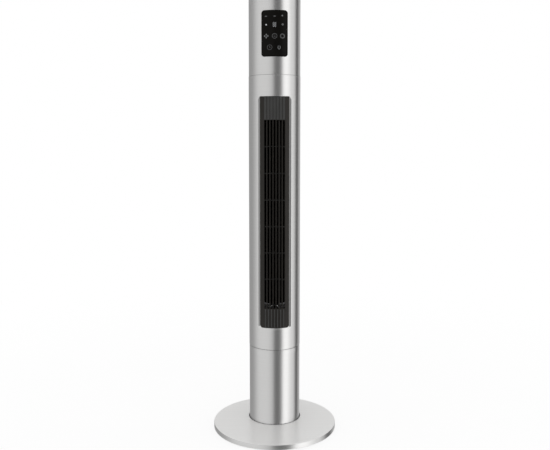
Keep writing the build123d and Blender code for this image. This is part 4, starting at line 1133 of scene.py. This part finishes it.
# %% Panel finish
panel_finish, tree, surface = new_finish("smoked_acrylic")
where = node(tree, "ShaderNodeTexCoord", give="Object")
haze, etch = noise(where, 60.0, 4), noise(where, 2500.0, 1)
smoke = tinted(haze, (0.005, 0.0064), (0.0047, 0.006), (0.004, 0.0052))
connect(surface, {"Base Color": smoke, "Roughness": ramp(etch, 0.16, 0.24), "Specular IOR Level": 0.05})
print("panel finish:", panel_finish.name)

# %% Panel
panel_radius, panel_depth, panel_edge = 57.8, 1.2, 0.4
outline, ways = window_outline(panel_half_width, panel_bottom, panel_top, panel_corner)
panel_middle = np.array([0, (panel_bottom + panel_top) / 2])


def shrunk(points, part):
    """Points of the panel's drawing, drawn in towards its middle."""
    return panel_middle + part * (points - panel_middle)


face_edge = outline - panel_edge * ways
rings = [on_face(shrunk(outline, part), panel_radius - panel_depth) for part in (0.02, 0.5, 1)]
rings += over_edge(outline, ways, panel_radius, panel_edge, EDGE_TURNS)
for part in (0.97, 0.85, 0.7, 0.55, 0.4, 0.25, 0.1, 0.02):
    rings.append(on_face(shrunk(face_edge, part), panel_radius))
panel = ring_mesh("touch_panel", rings, panel_finish, capped=True)
add_piece(panel, "column", "panel_gloss", "control_panel")

# %% Finish of the signs
sign_finish, tree, surface = new_finish("lit_signs")
glow = node(tree, "ShaderNodeAttribute", give="Fac", attribute_name="glow")
uneven = noise(node(tree, "ShaderNodeTexCoord", give="Object"), 900.0, 2)
lit_look = {
    "Emission Strength": glow * ramp(uneven, 0.85, 1.1),
    "Emission Color": (0.95, 0.97, 1, 1),
    "Base Color": (0.03, 0.03, 0.03, 1),
    "Roughness": 0.3,
}
connect(surface, lit_look)
print("sign finish:", sign_finish.name)

# %% Marks
sign_points, sign_faces, sign_glow = [], [], []
mark_rise, mark_sink = 0.05, 0.2


def unit(ways):
    """Ways of length 1."""
    return ways / np.linalg.norm(ways, axis=1)[:, None]


def mark(path, width, glow, closed=False):
    """Strip of a width along a path of points (x, z), bent with the panel."""
    path = np.asarray(path, float)
    ahead = np.roll(path, -1, 0) - path
    if not closed:
        ahead[-1] = ahead[-2]
    behind = np.roll(ahead, 1, 0)
    if not closed:
        behind[0] = ahead[0]
    way = unit(unit(ahead) + unit(behind))
    across = np.stack([-way[:, 1], way[:, 0]], -1) * width / 2
    left, right = path - across, path + across
    reach, sunk = panel_radius + mark_rise, panel_radius - mark_sink
    start, steps = sum(map(len, sign_points)), len(path)
    for border, depth in ((left, sunk), (left, reach), (right, reach), (right, sunk)):
        sign_points.append(on_face(border, depth))
    sign_glow.extend([glow] * 4 * steps)
    for step in range(steps if closed else steps - 1):
        after = (step + 1) % steps
        for edge in range(4):
            a, b = start + edge * steps, start + (edge + 1) % 4 * steps
            sign_faces.append((a + step, a + after, b + after, b + step))
    if not closed:
        for end in (0, steps - 1):
            sign_faces.append(tuple(start + edge * steps + end for edge in range(4)))


def arc(x, z, radius, start=0.0, end=360.0, steps=28):
    """Points of a round, from an angle to another in degrees from the right."""
    turns = np.radians(np.linspace(start, end, steps, endpoint=end - start < 360))
    return np.stack([x + radius * np.cos(turns), z + radius * np.sin(turns)], -1)


def figure(x, z, glow):
    """Figure of a seven-part display with every part lit."""
    half, side, inset, width = 4.8, 1, 0.35, 0.6
    for rise in (half, 0, -half):
        mark([(x - side + inset, z + rise), (x + side - inset, z + rise)], width, glow)
    for edge in (side, -side):
        for top, bottom in ((half - inset, inset), (-inset, -half + inset)):
            mark([(x + edge, z + top), (x + edge, z + bottom)], width, glow)


print("marks stand", mark_rise, "mm out of the panel")

# %% Signs on the panel
top_row, display_row, upper_keys, lower_keys = 915.2, 897.3, 873.4, 849.4
left_key, right_key, clock_x, power_x, petal_reach = -17.9, 17, -10.6, 9.8, 3.3
# Rings as x, z, radius, width and glow
ring_signs = [
    (16.6, top_row + 1.2, 0.9, 1.6, 0.1),
    (-18, display_row, 0.8, 1.5, 0.5),
    (17.4, display_row + 0.6, 1.2, 2.2, 0.055),
    (left_key, upper_keys, 0.5, 1.0, 0.1),
    (0, upper_keys, 5.1, 1.0, 0.05),
    (right_key, upper_keys, 4.9, 1.0, 0.03),
    (right_key, upper_keys, 3.7, 1.2, 0.035),
    (clock_x, lower_keys, 5.1, 1.0, 0.022),
]
for petal in arc(left_key, upper_keys, petal_reach, steps=4):
    ring_signs.append((*petal, 0.75, 1.5, 0.12))
for x, z, radius, width, glow in ring_signs:
    mark(arc(x, z, radius), width, glow, closed=True)
# Two of the faint marks, each a narrow bow over a wide one
for x in (-18.6, 0):
    mark(arc(x, top_row + 2.2, 3.2, 215, 325, 9), 0.8, 0.07)
    mark(arc(x, top_row + 1.4, 1.2, 200, 340, 7), 0.8, 0.09)
for x in (-2.1, 1.7):
    figure(x, display_row, 0.36)
# Two bars in the middle key, the hands of the clock, and the power key's open ring and stroke
for rise in (-1.6, 1.6):
    mark([(-2.2, upper_keys + rise), (2.2, upper_keys + rise)], 0.8, 0.05)
clock_hands = [(clock_x, lower_keys + 2.8), (clock_x, lower_keys), (clock_x + 2, lower_keys - 1.2)]
mark(clock_hands, 0.8, 0.05)
mark(arc(0, 0, 1, 125, 415, 25) * (2.5, 3.8) + (power_x, lower_keys), 1.1, 0.15)
mark([(power_x, lower_keys + 2.2), (power_x, lower_keys + 5)], 0.7, 0.04)
signs = mesh_from("panel_signs", np.concatenate(sign_points), sign_faces, sign_finish, glow=sign_glow)
add_piece(signs, "column", "panel_gloss")

# %% [markdown]
# ## Finishes of the pieces that stay
# Pieces inside the fan keep their solids. Each slot in the record names what a node is made of, so
# the nodes of one slot share one finish.

# %% Finishes by slot
for made in nodes.values():
    slot = made.data.materials[0].name if made.data.materials else ""
    finish = finishes.get(slot.split(".")[0])
    if finish and not made.hide_render:
        made.data.materials.clear()
        made.data.materials.append(finish)
print("finished:", sum(not made.hide_render for made in nodes.values()), "nodes inside the fan")

# %% [markdown]
# ## Studio
# Polished and brushed metal shows the room more than itself. The bands on the column are a bright
# softbox on the right, dimmer walls around it and three dark flags, all upright and tall.
# They can be lamps and boards around the fan, or a world that is bright and dark by direction. The
# world is simpler and hides nothing from another viewpoint: only glossy rays see the bands, while
# the camera sees plain white and matte surfaces get one even light. The bright foot would mirror in
# the lowest part of the column and wash the bands out, so glossy rays pass by its cover, ballast,
# pan, screws, rubber pucks and gland.

# %% World with softboxes and flags
# Each band has the azimuth of its middle, its half width at full strength and at none, and a strength.
studio = {
    "left wall": (-52, 18, 62, 0.275),
    "left flag": (-140, 10, 50, -0.1),
    "front flag": (16, 16.5, 23, -0.306),
    "right softbox": (52.2, 6, 29.5, 0.755),
    "right wall": (86, 6, 26, 0.345),
    "right flag": (120, 5, 19, -0.39),
    "rear wall": (158, 12, 44, 0.06),
}
room_level, ceiling_level, matte_level = 0.45, 0.82, 1.0
ceiling_lean, ceiling_from, ceiling_to = 0.2, 0.39, 0.65


def ray_kinds(tree):
    """Whether a ray comes from the camera, from a glossy surface or through a clear one."""
    kinds = "Is Camera Ray", "Is Glossy Ray", "Is Transmission Ray"
    return [node(tree, "ShaderNodeLightPath", give=kind) for kind in kinds]


world = bpy.data.worlds.new("studio")
world.use_nodes = True
bpy.context.scene.world = world
sky = world.node_tree
sky.nodes.clear()

x, y, z = axes_of(node(sky, "ShaderNodeTexCoord", give="Generated"))
azimuth = x.maths("ARCTAN2", y * -1.0)
level = room_level
for middle, core, reach, strength in studio.values():
    turned = {0: azimuth - radians(middle), 1: pi, 2: -pi}
    away = node(sky, "ShaderNodeMath", turned, operation="WRAP").maths("ABSOLUTE")
    level = ramp(away, 0, strength, radians(reach), radians(core), "SMOOTHSTEP") + level
ceiling = ramp(z + y * ceiling_lean, 0, 1, ceiling_from, ceiling_to, "SMOOTHSTEP")
level = mixed(sky, ceiling, level, ceiling_level)
seen, glossy, through = ray_kinds(sky)
level = mixed(sky, glossy, matte_level, level)
level = mixed(sky, seen.maths("MAXIMUM", through), level, 1.0)
shine = node(sky, "ShaderNodeBackground", {"Color": (1, 1, 1, 1), "Strength": level})
node(sky, "ShaderNodeOutputWorld", {"Surface": shine})
print("studio:", ", ".join(studio))

# %% Foot kept out of the column's reflection
foot_pieces = [foot_piece, pan_group, pucks]
foot_pieces += [nodes[name] for name in ("ballast_plate", "base_pan", "cord_gland")]
for piece in foot_pieces:
    piece.visible_glossy = False
print(len(foot_pieces), "pieces of the foot are not mirrored")

# %% [markdown]
# ## Floor
# The fan stands on a pale sweep that runs out of the picture. Some of its white is a plain glow for
# the camera, so that it meets the white background without a line, and the rest is lit, so that the
# fan's soft shadow stays.

# %% Floor finish
white_from, white_to, near_share = 0.4, 1.6, 0.8
floor_finish, tree, surface = new_finish("pale_floor")
where = node(tree, "ShaderNodeTexCoord", give="Object")
pale = ramp(noise(where, 3.0, 3), 0.94, 0.96)
connect(surface, {"Base Color": pale, "Roughness": 0.9, "Specular IOR Level": 0.0})
seen, glossy, through = ray_kinds(tree)
seen = seen.maths("MAXIMUM", glossy).maths("MAXIMUM", through)
reach = node(tree, "ShaderNodeVectorMath", {0: where}, "Value", operation="LENGTH")
share = seen * ramp(reach, near_share, 1.0, white_from, white_to, "SMOOTHSTEP")
lit, white = Output(tree, surface.outputs[0]), node(tree, "ShaderNodeEmission", {"Strength": 1.0})
sweep = node(tree, "ShaderNodeMixShader", {0: share, 1: lit, 2: white})
connect(tree.nodes["Material Output"], {"Surface": sweep})
print("floor finish:", floor_finish.name)

# %% Floor
floor_half = 6000
corners = [(-floor_half, -floor_half, 0), (floor_half, -floor_half, 0)]
corners += [(floor_half, floor_half, 0), (-floor_half, floor_half, 0)]
floor = in_scene("floor", mesh_from("floor", corners, [(0, 1, 2, 3)], floor_finish))
floor.visible_glossy = False
print("floor is", 2 * floor_half * MM, "m wide")
